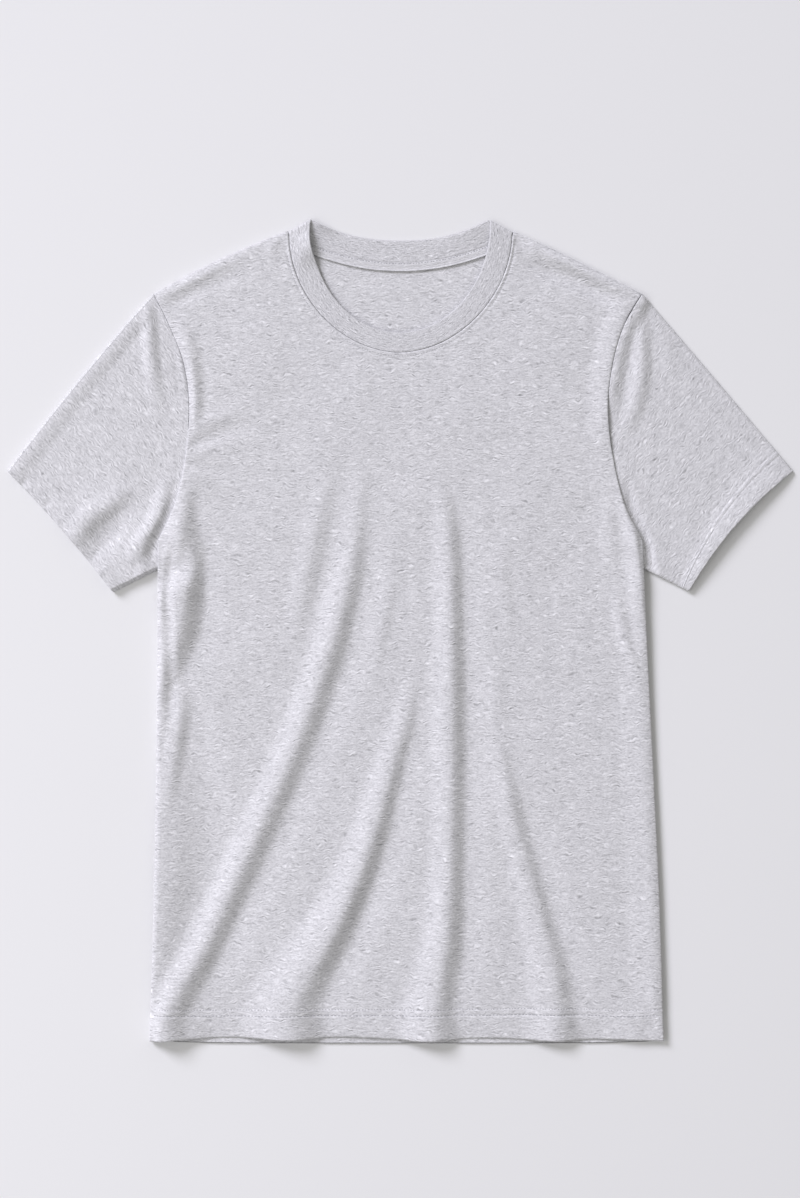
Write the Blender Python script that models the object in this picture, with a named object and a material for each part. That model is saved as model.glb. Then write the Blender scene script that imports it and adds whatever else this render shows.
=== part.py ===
"""Crew-neck T-shirt with short sleeves, laid flat with its front up.

The origin lies under the middle of the shirt, on the surface that it rests on. The neck points to +Y
and the wearer's left is at +X. Sizes below are in millimetres, and solid() turns them into metres.

Each cut piece is one closed wall of cloth: front, back, two sleeves, the rib round the neck and the
tape over the back neck seam. Hems are the turned, doubled edges of their pieces. The back lies flat,
and the front lies on it with its folds. A sleeve is a flat tube whose underarm corner is tucked
between front and back.
"""
from collections import namedtuple
from math import cos, hypot, pi, sin

import bmesh
import bpy
from mathutils import Vector
from mathutils.geometry import delaunay_2d_cdt

MM = 0.001

# ---- cloth ----
JERSEY = 1.2            # wall of a single layer
HEM_WALL = 2.0          # wall where a hem is turned up
RIB_WALL = 2.0          # neck band, rib folded double
TAPE_WALL = 1.0
GAP = 0.3               # between layers, and across a seam
SEAM_CUT = 0.45         # set back from the seam line, so that faceted edges stay GAP apart
HEM_DEPTH = 23.0

# ---- body, seen from above ----
# Each row is one level: its y, and the edge's x on the wearer's right (-X) and left (+X).
Level = namedtuple("Level", "y right left")
NECK_POINT = (107.6, 380.4)
SHOULDER_BOW = 3.2
ARMHOLE = [
    Level(320.5, -234.0, 229.0),
    Level(291.0, -219.5, 212.0),
    Level(254.0, -205.5, 201.0),
    Level(210.0, -200.5, 196.5),
    Level(160.0, -205.0, 202.5),
    Level(120.0, -214.5, 213.0),
    Level(87.0, -230.0, 229.0),
]
SIDE = [
    Level(87.0, -230.0, 229.0),
    Level(0.0, -230.5, 232.5),
    Level(-120.0, -231.5, 238.5),
    Level(-254.0, -233.5, 245.0),
    Level(-388.0, -238.0, 249.5),
]
ARMHOLE_LEVELS = [320.5, 306, 291, 273, 254, 234, 214, 195, 172, 150, 128, 107, 87]
SIDE_LEVELS = [62, 40, 12, -20, -60, -100, -140, -180, -220, -260, -300, -330, -352, -362.5, -365]
# The front hem's lower edge rises where a fold reaches it.
Hem = namedtuple("Hem", "x y")
FRONT_HEM = [
    Hem(-238.0, -388.0),
    Hem(-160.0, -385.2),
    Hem(-106.0, -388.4),
    Hem(-50.0, -385.6),
    Hem(23.0, -390.0),
    Hem(85.0, -387.0),
    Hem(142.0, -390.0),
    Hem(190.0, -387.0),
    Hem(249.5, -388.0),
]
BACK_HEM_DROP = 3.4     # how far the back's hem shows below the front's at mid width
HEM_STATIONS = 26
HEM_TOP = SIDE[-1].y + HEM_DEPTH
HEM_STEP = 2.5          # height over which the doubled cloth thins to one layer

# ---- neck ----
# Ellipses with their top at the fold beside the neck point; a bend of the rib's layers adds its
# radius there.
NECK_MID_X = -1.0
SEAM_HALF, SEAM_TOP, SEAM_DEPTH, SEAM_POWER = 105.5, 377.0, 111.6, 1.9
EDGE_HALF, EDGE_TOP, EDGE_DEPTH, EDGE_POWER = 84.5, 387.3, 103.3, 2.0
BACK_SEAM_LOW, BACK_EDGE_LOW = 350.4, 371.3     # y at the middle of the back neck
BEND_EDGE, BEND_SEAM = 4.5, 2.6                 # outer radius of the fold at the band's two edges
RIB_FRONT_MID = 4.2                             # mid wall height of the band at centre front
FRONT_STATIONS, BEND_STATIONS, BACK_STATIONS = 32, 6, 16
TAPE_HEIGHT, TAPE_HALF = 8.6, 95.0

# ---- sleeves, for +X ----
SHOULDER_BULGE = 2.6
CUFF_TIP = (372.8, 152.5)
CUFF_LOW = (273.2, 38.5)
UNDERARM = (217.0, 66.5)        # tucked in between front and back
TUCK_LIFT = JERSEY + 1.5 * GAP  # a tucked corner's height over the surface
CUFF_BOW = {"right": 2.5, "left": 6.0}
TUCK_TOP, TUCK_FULL = 236.0, 200.0      # y above which nothing is tucked, and below which all is
END_LEVELS = [320.5, 306, 291, 273, 254, 234, 214, 195, 168, 142, 117, 91, 66.5]
TUCKED_X = {168: 201.0, 142: 202.5, 117: 205.0, 91: 210.0, 66.5: 217.0}
SLEEVE_EDGE = 2.3               # radius of the tube's folded edges, seen from above
SLEEVE_GAP = 0.5                # inside the tube where it is flattest
SLEEVE_CROWN = 2.6
CUFF_HEM = 0.89                 # station where the turned hem begins
SLEEVE_STATIONS = [0.0, 0.05, 0.11, 0.18, 0.26, 0.36, 0.47, 0.58, 0.68, 0.78, 0.86, 0.89, 0.94, 1.0]

# ---- height of the front above the surface ----
INNER_HEIGHT = 4.2              # underside of the front away from its edges
# How far the front comes down at each edge, and over what width.
Fall = namedtuple("Fall", "drop width")
FALLS = {
    "side": Fall(INNER_HEIGHT - JERSEY - GAP, 26.0),
    "shoulder": Fall(INNER_HEIGHT - JERSEY - GAP, 30.0),
    "armhole": Fall(1.9, 24.0),
    "neck": Fall(1.0, 22.0),
    "hem": Fall(INNER_HEIGHT - HEM_WALL - GAP, 26.0),
}

# ---- folds ----
# A fold is a ridge. Each row is one section of it: where its crest is, how high it stands, and how
# wide its flanks are towards -X and towards +X.
Crest = namedtuple("Crest", "y x height rise fall")
FOLDS = {
    "right_flank": [
        Crest(138.0, -213.0, 0.0, 14.0, 14.0),
        Crest(85.0, -206.0, 5.0, 20.0, 24.0),
        Crest(60.0, -204.0, 6.2, 24.0, 23.0),
        Crest(5.0, -211.0, 6.2, 19.0, 22.0),
        Crest(-20.0, -217.5, 4.8, 13.0, 20.0),
        Crest(-70.0, -227.0, 0.0, 8.0, 12.0),
    ],
    "long_diagonal": [
        Crest(160.0, -36.0, 0.0, 18.0, 12.0),
        Crest(60.0, -48.5, 3.6, 24.0, 18.0),
        Crest(-20.0, -69.0, 5.2, 24.0, 20.0),
        Crest(-100.0, -98.0, 5.8, 24.0, 20.0),
        Crest(-200.0, -141.0, 6.2, 24.0, 20.0),
        Crest(-300.0, -188.0, 6.2, 25.0, 21.0),
        Crest(-345.0, -213.0, 5.6, 20.0, 22.0),
        Crest(-392.0, -228.0, 5.2, 9.0, 26.0),
    ],
    "lower_diagonal": [
        Crest(-35.0, 11.0, 0.0, 14.0, 10.0),
        Crest(-110.0, -4.5, 3.4, 20.0, 15.0),
        Crest(-200.0, -30.0, 5.8, 26.0, 17.0),
        Crest(-260.0, -53.5, 6.8, 30.0, 19.0),
        Crest(-300.0, -74.0, 6.9, 36.0, 21.0),
        Crest(-345.0, -101.0, 6.9, 46.0, 28.0),
        Crest(-392.0, -112.0, 6.8, 46.0, 32.0),
    ],
    "upright": [
        Crest(150.0, 37.0, 0.0, 16.0, 10.0),
        Crest(95.0, 44.5, 3.4, 20.0, 14.0),
        Crest(20.0, 46.8, 4.6, 22.0, 16.0),
        Crest(-100.0, 47.0, 5.2, 22.0, 18.0),
        Crest(-220.0, 45.5, 5.8, 22.0, 18.0),
        Crest(-300.0, 41.0, 6.4, 27.0, 21.0),
        Crest(-345.0, 33.0, 6.2, 34.0, 24.0),
        Crest(-392.0, 27.0, 6.0, 36.0, 27.0),
    ],
    "left_hip": [
        Crest(-100.0, 91.0, 0.0, 14.0, 10.0),
        Crest(-160.0, 102.5, 3.2, 18.0, 15.0),
        Crest(-240.0, 122.5, 4.0, 22.0, 16.0),
        Crest(-290.0, 136.0, 4.4, 28.0, 17.0),
        Crest(-340.0, 146.0, 5.2, 35.0, 21.0),
        Crest(-392.0, 146.0, 5.0, 36.0, 24.0),
    ],
}
SLEEVE_FOLDS = {
    "right_underarm": [
        Crest(140.0, -222.0, 0.0, 14.0, 10.0),
        Crest(105.0, -243.0, 1.5, 18.0, 12.0),
        Crest(60.0, -258.0, 0.0, 14.0, 10.0),
    ],
    "right_cuff": [
        Crest(150.0, -262.0, 0.0, 12.0, 12.0),
        Crest(110.0, -290.0, 1.4, 16.0, 13.0),
        Crest(72.0, -305.0, 0.6, 12.0, 10.0),
    ],
    "left_cap": [
        Crest(318.0, 230.0, 0.0, 10.0, 12.0),
        Crest(270.0, 220.0, 2.0, 12.0, 17.0),
        Crest(215.0, 211.0, 0.0, 8.0, 16.0),
    ],
}
GRID = 38.0             # spacing of the front's points away from folds and edges
BACK_GRID = 90.0
FOLD_STEP = 30.0        # spacing of its points along a fold
RIM = 9.0               # first row of points inside an edge

# ---- colours ----
HEATHER = (0.62, 0.62, 0.655, 1.0)
RIB_GREY = (0.58, 0.58, 0.61, 1.0)
TAPE_GREY = (0.60, 0.60, 0.63, 1.0)


# ---- curves ----
def along(rows, at, column):
    """Read a column of a table at a value of its first column, on a smooth curve through the rows."""
    keys = [row[0] for row in rows]
    values = [getattr(row, column) for row in rows]
    if keys[0] > keys[-1]:
        keys.reverse()
        values.reverse()
    if at <= keys[0]:
        return values[0]
    if at >= keys[-1]:
        return values[-1]
    i = max(k for k in range(len(keys) - 1) if keys[k] <= at)
    slopes = []
    for k in (i, i + 1):
        before, after = max(k - 1, 0), min(k + 1, len(keys) - 1)
        slopes.append((values[after] - values[before]) / (keys[after] - keys[before]))
    span = keys[i + 1] - keys[i]
    q = (at - keys[i]) / span
    return (
        values[i] * (1 + 2 * q) * (1 - q) ** 2
        + values[i + 1] * q * q * (3 - 2 * q)
        + span * (slopes[0] * q * (1 - q) ** 2 - slopes[1] * q * q * (1 - q))
    )


def ease(low, high, value):
    """0 up to low, 1 from high on, smooth between."""
    q = min(1.0, max(0.0, (value - low) / (high - low)))
    return q * q * (3 - 2 * q)


def bowed(start, end, share, bow):
    """A point between two others on a shallow arc that stands off to the left of their line."""
    dx, dy = end[0] - start[0], end[1] - start[1]
    length = hypot(dx, dy)
    lift = 4 * bow * share * (1 - share) / length
    return start[0] + dx * share - dy * lift, start[1] + dy * share + dx * lift


def arch(share, half, top, depth, power, away=0.0):
    """A point of the neck's front curve, from its left end (0) to its right end (1), moved away out."""
    angle = pi * share
    x = half * abs(cos(angle)) ** (2 / power) * (1 if cos(angle) > 0 else -1)
    y = top - depth * abs(sin(angle)) ** (2 / power)
    out = Vector((x / half ** 2, (y - top) / depth ** 2))
    out.normalize()
    return NECK_MID_X * sin(angle) + x + out.x * away, y + out.y * away


def back_neck(share, half, top, low, away=0.0):
    """A point of the back neck's shallow curve, from its left end (0) to its right (1), moved down."""
    s = 1 - 2 * share
    slope = 2 * (top - low) * s / half
    length = hypot(1, slope)
    return half * s + away * slope / length, low + (top - low) * s * s - away / length


# ---- plan of the two panels ----
def body_edges(is_front):
    """The panel's edges, anticlockwise from the hem's right end, as named lists of points."""
    right_foot, left_foot = SIDE[-1].right, SIDE[-1].left
    hem = []
    for k in range(HEM_STATIONS + 1):
        share = k / HEM_STATIONS
        x = right_foot + (left_foot - right_foot) * share
        if is_front:
            hem.append((x, along(FRONT_HEM, x, "y")))
        else:
            hem.append((x, FRONT_HEM[0].y - BACK_HEM_DROP * (1 - (2 * share - 1) ** 6)))
    left_side = [(along(SIDE, y, "left"), y) for y in reversed(SIDE_LEVELS)]
    left_arm = [(along(ARMHOLE, y, "left"), y) for y in reversed(ARMHOLE_LEVELS)]
    right_arm = [(along(ARMHOLE, y, "right"), y) for y in ARMHOLE_LEVELS]
    right_side = [(along(SIDE, y, "right"), y) for y in SIDE_LEVELS]
    neck_right = (-NECK_POINT[0], NECK_POINT[1])
    left_shoulder = [bowed(left_arm[-1], NECK_POINT, k / 8, -SHOULDER_BOW) for k in range(1, 9)]
    right_shoulder = [bowed(neck_right, right_arm[0], k / 8, -SHOULDER_BOW) for k in range(8)]
    if is_front:
        neck = [
            arch(k / FRONT_STATIONS, SEAM_HALF, SEAM_TOP, SEAM_DEPTH, SEAM_POWER, SEAM_CUT)
            for k in range(FRONT_STATIONS + 1)
        ]
    else:
        neck = [
            back_neck(k / BACK_STATIONS, SEAM_HALF, SEAM_TOP, BACK_SEAM_LOW, SEAM_CUT)
            for k in range(BACK_STATIONS + 1)
        ]
    return [
        ("hem", hem),
        ("side", left_side),
        ("armhole", left_arm),
        ("shoulder", left_shoulder),
        ("neck", neck),
        ("shoulder", right_shoulder),
        ("armhole", right_arm),
        ("side", right_side),
    ]


def distance(point, start, end):
    """How far a point is from a straight stretch."""
    dx, dy = end[0] - start[0], end[1] - start[1]
    share = ((point[0] - start[0]) * dx + (point[1] - start[1]) * dy) / (dx * dx + dy * dy)
    share = min(1.0, max(0.0, share))
    return hypot(point[0] - start[0] - dx * share, point[1] - start[1] - dy * share)


def depth_inside(point, outline):
    """Distance to a closed outline, positive inside it and negative outside."""
    nearest, inside = 1e9, False
    for a, b in zip(outline, outline[1:] + outline[:1]):
        nearest = min(nearest, distance(point, a, b))
        if (a[1] > point[1]) != (b[1] > point[1]):
            if point[0] < a[0] + (point[1] - a[1]) / (b[1] - a[1]) * (b[0] - a[0]):
                inside = not inside
    return nearest if inside else -nearest


def stretches(edges):
    """The outline as named stretches, each from one point to the next."""
    points = [(name, p) for name, line in edges for p in line]
    return [(name, p, q) for (_, p), (name, q) in zip(points, points[1:] + points[:1])]


# ---- folds ----
def fold_offset(rows, x, y):
    """Signed distance of a point from a fold's crest, towards +X."""
    slope = (along(rows, y + 4, "x") - along(rows, y - 4, "x")) / 8
    return (x - along(rows, y, "x")) / hypot(1, slope)


def fold_height(folds, x, y):
    """How high the folds lift the cloth at a point; crossing folds don't add up."""
    highest = 0.0
    for rows in folds.values():
        if not rows[-1].y <= y <= rows[0].y:
            continue
        offset = fold_offset(rows, x, y)
        flank = along(rows, y, "rise" if offset < 0 else "fall")
        if abs(offset) < flank:
            lift = along(rows, y, "height") * (1 + cos(pi * offset / flank)) / 2
            highest = max(highest, lift)
    return highest


def fold_lines(rows, lowest):
    """Lines of points along a fold: both feet, both flanks and the crest."""
    top, bottom = rows[0].y, max(rows[-1].y, lowest)
    count = max(2, round((top - bottom) / FOLD_STEP))
    lines = []
    for side, share in (("rise", -1.0), ("rise", -0.5), ("rise", 0.0), ("fall", 0.5), ("fall", 1.0)):
        line = []
        for k in range(count + 1):
            y = top + (bottom - top) * k / count
            slope = (along(rows, y + 4, "x") - along(rows, y - 4, "x")) / 8
            line.append((along(rows, y, "x") + share * along(rows, y, side) * hypot(1, slope), y))
        lines.append(line)
    return lines


# ---- sleeves ----
def sleeve_plan(side, u, v):
    """A point of a sleeve seen from above: u runs from armhole to cuff, v from top edge to underarm."""
    sign = 1 if side == "left" else -1
    shoulder = (along(ARMHOLE, END_LEVELS[0], side) * sign + SEAM_CUT, END_LEVELS[0])

    def end(share):
        place = share * (len(END_LEVELS) - 1)
        k = min(int(place), len(END_LEVELS) - 2)
        points = []
        for level in END_LEVELS[k:k + 2]:
            x = TUCKED_X.get(level) or along(ARMHOLE, level, side) * sign + SEAM_CUT
            points.append((x, level))
        q = place - k
        return [a + (b - a) * q for a, b in zip(*points)]

    top = bowed(shoulder, CUFF_TIP, u, SHOULDER_BULGE)
    under = bowed(UNDERARM, CUFF_LOW, u, 0.0)
    cuff = bowed(CUFF_TIP, CUFF_LOW, v, -CUFF_BOW[side])
    corners = (shoulder, UNDERARM, CUFF_TIP, CUFF_LOW)
    point = []
    for axis in (0, 1):
        across = (1 - v) * top[axis] + v * under[axis] + (1 - u) * end(v)[axis] + u * cuff[axis]
        blend = (1 - u) * ((1 - v) * corners[0][axis] + v * corners[1][axis])
        blend += u * ((1 - v) * corners[2][axis] + v * corners[3][axis])
        point.append(across - blend)
    return point[0] * sign, point[1]


def sleeve_outline(side):
    """The sleeve's outline seen from above, as a closed list of points."""
    steps = [k / 12 for k in range(12)]
    outline = [sleeve_plan(side, q, 0) for q in steps]
    outline += [sleeve_plan(side, 1, q) for q in steps]
    outline += [sleeve_plan(side, 1 - q, 1) for q in steps]
    return outline + [sleeve_plan(side, 0, 1 - q) for q in steps]


def tucked(y):
    """0 on the open part of the armhole, 1 where the sleeve's end lies between front and back."""
    return 1 - ease(TUCK_FULL, TUCK_TOP, y)


def sleeve_levels(x, y, v, body, wall):
    """Height of the underside of a sleeve's lower layer, and of the top of its upper layer."""
    outside = -depth_inside((x, y), body)
    low = TUCK_LIFT * tucked(y) * (1 - ease(3.0, 30.0, outside))
    free = ease(1.0, 34.0, outside) if tucked(y) > 0 else ease(-6.0, 22.0, outside)
    crown = SLEEVE_CROWN * (4 * v * (1 - v)) ** 0.7 * free
    folds = fold_height(SLEEVE_FOLDS, x, y) * free
    return low, low + 2 * wall + SLEEVE_GAP + crown + folds


def half_turn(top, bottom, end, radius):
    """Points of a rounded edge from a point down to the one below it, bulging towards end."""
    middle, half = (top + bottom) / 2, (top.z - bottom.z) / 2
    out = Vector((end.x - middle.x, end.y - middle.y, 0)).normalized() * radius
    angles = [pi / 2 - pi * k / 4 for k in (1, 2, 3)]
    return [middle + out * cos(angle) + Vector((0, 0, half * sin(angle))) for angle in angles]


def sleeve_rings(side, u, body):
    """A sleeve's section at one station: the outside and the inside of its wall, each closed."""
    wall = JERSEY + (HEM_WALL - JERSEY) * ease(CUFF_HEM - 0.03, CUFF_HEM, u)
    first, last = Vector(sleeve_plan(side, u, 0)), Vector(sleeve_plan(side, u, 1))
    margin = SLEEVE_EDGE / (last - first).length
    count = len(END_LEVELS) - 1
    shares = [margin] + [k / count for k in range(1, count)] + [1 - margin]
    rings = []
    for inset in (0.0, wall):
        upper, lower = [], []
        for v in shares:
            x, y = sleeve_plan(side, u, v)
            low, high = sleeve_levels(x, y, v, body, wall)
            upper.append(Vector((x, y, high - inset)))
            lower.append(Vector((x, y, low + inset)))
        under = half_turn(upper[-1], lower[-1], last, SLEEVE_EDGE - inset)
        fold = half_turn(upper[0], lower[0], first, SLEEVE_EDGE - inset)
        rings.append(upper + under + lower[::-1] + fold[::-1])
    return rings


# ---- making solids ----
def material(name, colour, roughness):
    """A plain cloth material."""
    made = bpy.data.materials.new(name)
    made.use_nodes = True
    shader = made.node_tree.nodes["Principled BSDF"]
    shader.inputs["Base Color"].default_value = colour
    shader.inputs["Roughness"].default_value = roughness
    shader.inputs["Metallic"].default_value = 0.0
    return made


def solid(name, points, faces, finish):
    """Make one closed body from points in millimetres, with its faces turned out."""
    mesh = bpy.data.meshes.new(name)
    mesh.from_pydata([tuple(c * MM for c in p) for p in points], [], faces)
    work = bmesh.new()
    work.from_mesh(mesh)
    bmesh.ops.recalc_face_normals(work, faces=work.faces)
    work.to_mesh(mesh)
    work.free()
    mesh.materials.append(finish)
    made = bpy.data.objects.new(name, mesh)
    bpy.context.scene.collection.objects.link(made)
    return made


def ring_faces(rings, size, closed):
    """Quads between neighbouring rings of points; closed joins the last ring to the first."""
    count = len(rings)
    faces = []
    for r in range(count if closed else count - 1):
        here, there = rings[r], rings[(r + 1) % count]
        for k in range(size):
            n = (k + 1) % size
            faces.append((here + k, here + n, there + n, there + k))
    return faces


def panel(name, edges, inner_points, lines, underside, wall, finish):
    """A sheet cut to an outline: its underside follows one function of place, its wall another."""
    outline = [p for _, line in edges for p in line]
    points = [Vector(p) for p in outline]
    constraints = []
    for line in lines:
        first = len(points)
        points += [Vector(p) for p in line]
        constraints += [(k, k + 1) for k in range(first, len(points) - 1)]
    points += [Vector(p) for p in inner_points]
    made = delaunay_2d_cdt(points, constraints, [list(range(len(outline)))], 1, 0.01)
    plan, triangles = made[0], [tuple(face) for face in made[2]]
    count = len(plan)
    low = [(p.x, p.y, underside(p.x, p.y)) for p in plan]
    high = [(p[0], p[1], p[2] + wall(p[0], p[1])) for p in low]
    sides = {(t[k], t[(k + 1) % 3]) for t in triangles for k in range(3)}
    faces = [tuple(k + count for k in t) for t in triangles]
    faces += [t[::-1] for t in triangles]
    faces += [(a, b, b + count, a + count) for a, b in sides if (b, a) not in sides]
    return solid(name, low + high, faces, finish)


def grid_inside(outline, spacing, margin):
    """Points of a staggered grid that lie inside an outline, at least a margin from it."""
    reach = max(abs(c) for p in outline for c in p)
    steps = int(reach / spacing) + 2
    points = []
    for row in range(-steps, steps + 1):
        for column in range(-steps, steps + 1):
            p = ((column + 0.5 * (row % 2)) * spacing, row * spacing * 0.87)
            if depth_inside(p, outline) > margin:
                points.append(p)
    return points


def hem_lines(level, borders):
    """Two lines across a panel, between which its hem's doubled cloth thins to one layer."""
    lines = []
    for y in (level, level + HEM_STEP):
        ends = sorted(a[0] for name, a, _ in borders if name == "side" and abs(a[1] - y) < 0.01)
        lines.append([(ends[0] + (ends[-1] - ends[0]) * k / 20, y) for k in range(1, 20)])
    return lines


def hem_wall(level):
    """The wall of a panel by height: doubled below a level."""
    return lambda x, y: JERSEY + (HEM_WALL - JERSEY) * (1 - ease(level, level + HEM_STEP, y))


# ---- pieces ----
def make_front(finish):
    """The front, which lies on the back and on the tucked corners of the sleeves."""
    edges = body_edges(is_front=True)
    outline = [p for _, line in edges for p in line]
    borders = stretches(edges)
    sleeves = [sleeve_outline(side) for side in ("right", "left")]
    over_sleeve = TUCK_LIFT + 2 * JERSEY + SLEEVE_GAP + 2 * GAP

    def underside(x, y):
        drop = 0.0
        for name, a, b in borders:
            fall = FALLS[name]
            near = 1 - distance((x, y), a, b) / fall.width
            if near > 0:
                drop = max(drop, fall.drop * near * near)
        height = INNER_HEIGHT - drop
        beside = max(depth_inside((x, y), sleeve) for sleeve in sleeves)
        lift = tucked(y) * ease(-30.0, -6.0, beside)
        height += max(0.0, over_sleeve - height) * lift
        height = max(height, (HEM_WALL + GAP) * (1 - ease(HEM_TOP + 12, HEM_TOP + 38, y)))
        return height + fold_height(FOLDS, x, y) * (1 - 0.9 * lift)

    lines = hem_lines(HEM_TOP, borders)
    for rows in FOLDS.values():
        for line in fold_lines(rows, HEM_TOP - HEM_DEPTH / 2):
            inside = [p for p in line if depth_inside(p, outline) > RIM + 3]
            if len(inside) > 1:
                lines.append(inside)
    taken = [p for line in lines for p in line] + outline
    rim = []
    for _, line in edges:
        for a, b in zip(line, line[1:]):
            across = Vector((a[1] - b[1], b[0] - a[0])).normalized() * RIM
            middle = ((a[0] + b[0]) / 2 + across.x, (a[1] + b[1]) / 2 + across.y)
            if all(hypot(middle[0] - p[0], middle[1] - p[1]) > 0.7 * RIM for p in taken + rim):
                rim.append(middle)
    taken += rim
    loose = []
    for p in grid_inside(outline, GRID, RIM):
        if all(hypot(p[0] - q[0], p[1] - q[1]) > 0.5 * GRID for q in taken):
            loose.append(p)
    return panel("front_panel", edges, rim + loose, lines, underside, hem_wall(HEM_TOP), finish)


def make_back(finish):
    """The back, flat on the surface, with its hem doubled inwards."""
    edges = body_edges(is_front=False)
    outline = [p for _, line in edges for p in line]
    loose = grid_inside(outline, BACK_GRID, RIM * 2)
    lines = hem_lines(HEM_TOP, stretches(edges))
    return panel("back_panel", edges, loose, lines, lambda x, y: 0.0, hem_wall(HEM_TOP), finish)


def make_sleeve(side, body, finish):
    """A sleeve: a flat tube, open at the cuff and the armhole, with its hem doubled."""
    points, outer, inner = [], [], []
    for u in SLEEVE_STATIONS:
        for starts, ring in zip((outer, inner), sleeve_rings(side, u, body)):
            starts.append(len(points))
            points += [tuple(p) for p in ring]
            size = len(ring)
    faces = []
    for starts in (outer, inner, (outer[0], inner[0]), (outer[-1], inner[-1])):
        faces += ring_faces(starts, size, closed=False)
    return solid("sleeve_" + side, points, faces, finish)


def rib_sections():
    """The neck band's stations in order round the ring: edge, seam and outward direction of each."""
    half_wall = RIB_WALL / 2
    sections = []
    up = Vector((0, 0, 1))

    def bend(sign):
        edge = Vector((EDGE_HALF * sign, EDGE_TOP, 0))
        seam = Vector((SEAM_HALF * sign, SEAM_TOP, 0))
        across = Vector((-(edge - seam).y, (edge - seam).x, 0)).normalized()
        across *= 1 if across.y > 0 else -1
        stations = []
        for k in range(1, BEND_STATIONS):
            angle = pi * k / BEND_STATIONS
            out = across * sin(angle) + up * cos(angle)
            ends = []
            for base, radius in ((edge, BEND_EDGE), (seam, BEND_SEAM)):
                ends.append(base + up * radius + out * (radius - half_wall))
            stations.append((ends[0], ends[1], out))
        return stations

    for k in range(FRONT_STATIONS + 1):
        share = k / FRONT_STATIONS
        settle = sin(pi * share) ** 0.8
        heights = []
        for radius in (BEND_EDGE, BEND_SEAM):
            beside = 2 * radius - half_wall
            heights.append(beside + (RIB_FRONT_MID - beside) * settle)
        edge = arch(share, EDGE_HALF, EDGE_TOP, EDGE_DEPTH, EDGE_POWER)
        seam = arch(share, SEAM_HALF, SEAM_TOP, SEAM_DEPTH, SEAM_POWER)
        sections.append((Vector((*edge, heights[0])), Vector((*seam, heights[1])), up))
    sections += bend(-1)
    for k in range(BACK_STATIONS, -1, -1):
        share = k / BACK_STATIONS
        edge = back_neck(share, EDGE_HALF, EDGE_TOP, BACK_EDGE_LOW)
        seam = back_neck(share, SEAM_HALF, SEAM_TOP, BACK_SEAM_LOW)
        sections.append((Vector((*edge, half_wall)), Vector((*seam, half_wall)), -up))
    sections += bend(1)[::-1]
    return sections


def make_rib(finish):
    """The neck band: a ring of folded rib that turns over beside both neck points."""
    half_wall = RIB_WALL / 2
    points, rings = [], []
    for edge, seam, out in rib_sections():
        along_band = (edge - seam).normalized()
        rim = edge - along_band * half_wall
        middle = (edge + seam) / 2
        lift = out * half_wall
        rings.append(len(points))
        ring = [seam + lift, middle + lift, rim + lift, edge, rim - lift, middle - lift, seam - lift]
        points += [tuple(p) for p in ring]
    return solid("neck_rib", points, ring_faces(rings, 7, closed=True), finish)


def make_tape(finish):
    """The tape on the inside of the back, just below the back neck seam."""
    points, rings = [], []
    stations = 22
    for k in range(stations + 1):
        share = 0.5 + (k / stations - 0.5) * TAPE_HALF / SEAM_HALF
        low = JERSEY + GAP
        rings.append(len(points))
        for away in (SEAM_CUT, SEAM_CUT + TAPE_HEIGHT):
            x, y = back_neck(share, SEAM_HALF, SEAM_TOP, BACK_SEAM_LOW, away)
            ordered = ((x, y, low), (x, y, low + TAPE_WALL))
            points += ordered if away == SEAM_CUT else ordered[::-1]
    faces = ring_faces(rings, 4, closed=False)
    faces += [tuple(range(4)), tuple(range(len(points) - 4, len(points)))]
    return solid("neck_tape", points, faces, finish)


def main():
    for old in list(bpy.data.objects):
        bpy.data.objects.remove(old)
    jersey = material("heather_jersey", HEATHER, 0.95)
    rib = material("heather_rib", RIB_GREY, 0.95)
    tape = material("neck_tape", TAPE_GREY, 0.95)
    body = [p for _, line in body_edges(is_front=True) for p in line]
    make_front(jersey)
    make_back(jersey)
    for side in ("right", "left"):
        make_sleeve(side, body, jersey)
    make_rib(rib)
    make_tape(tape)


main()
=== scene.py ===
"""Looks of the crew-neck T-shirt laid flat: cloth shells with their creases, thread, knit, light.

The shells follow the solids of the frame. Lengths in the tables are millimetres of the shirt, and MM,
measured on the frame, turns them into metres. The wearer's right side is at -X and the left at +X.
"""
from collections import namedtuple
from math import cos, pi, radians, sin, sqrt

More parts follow.
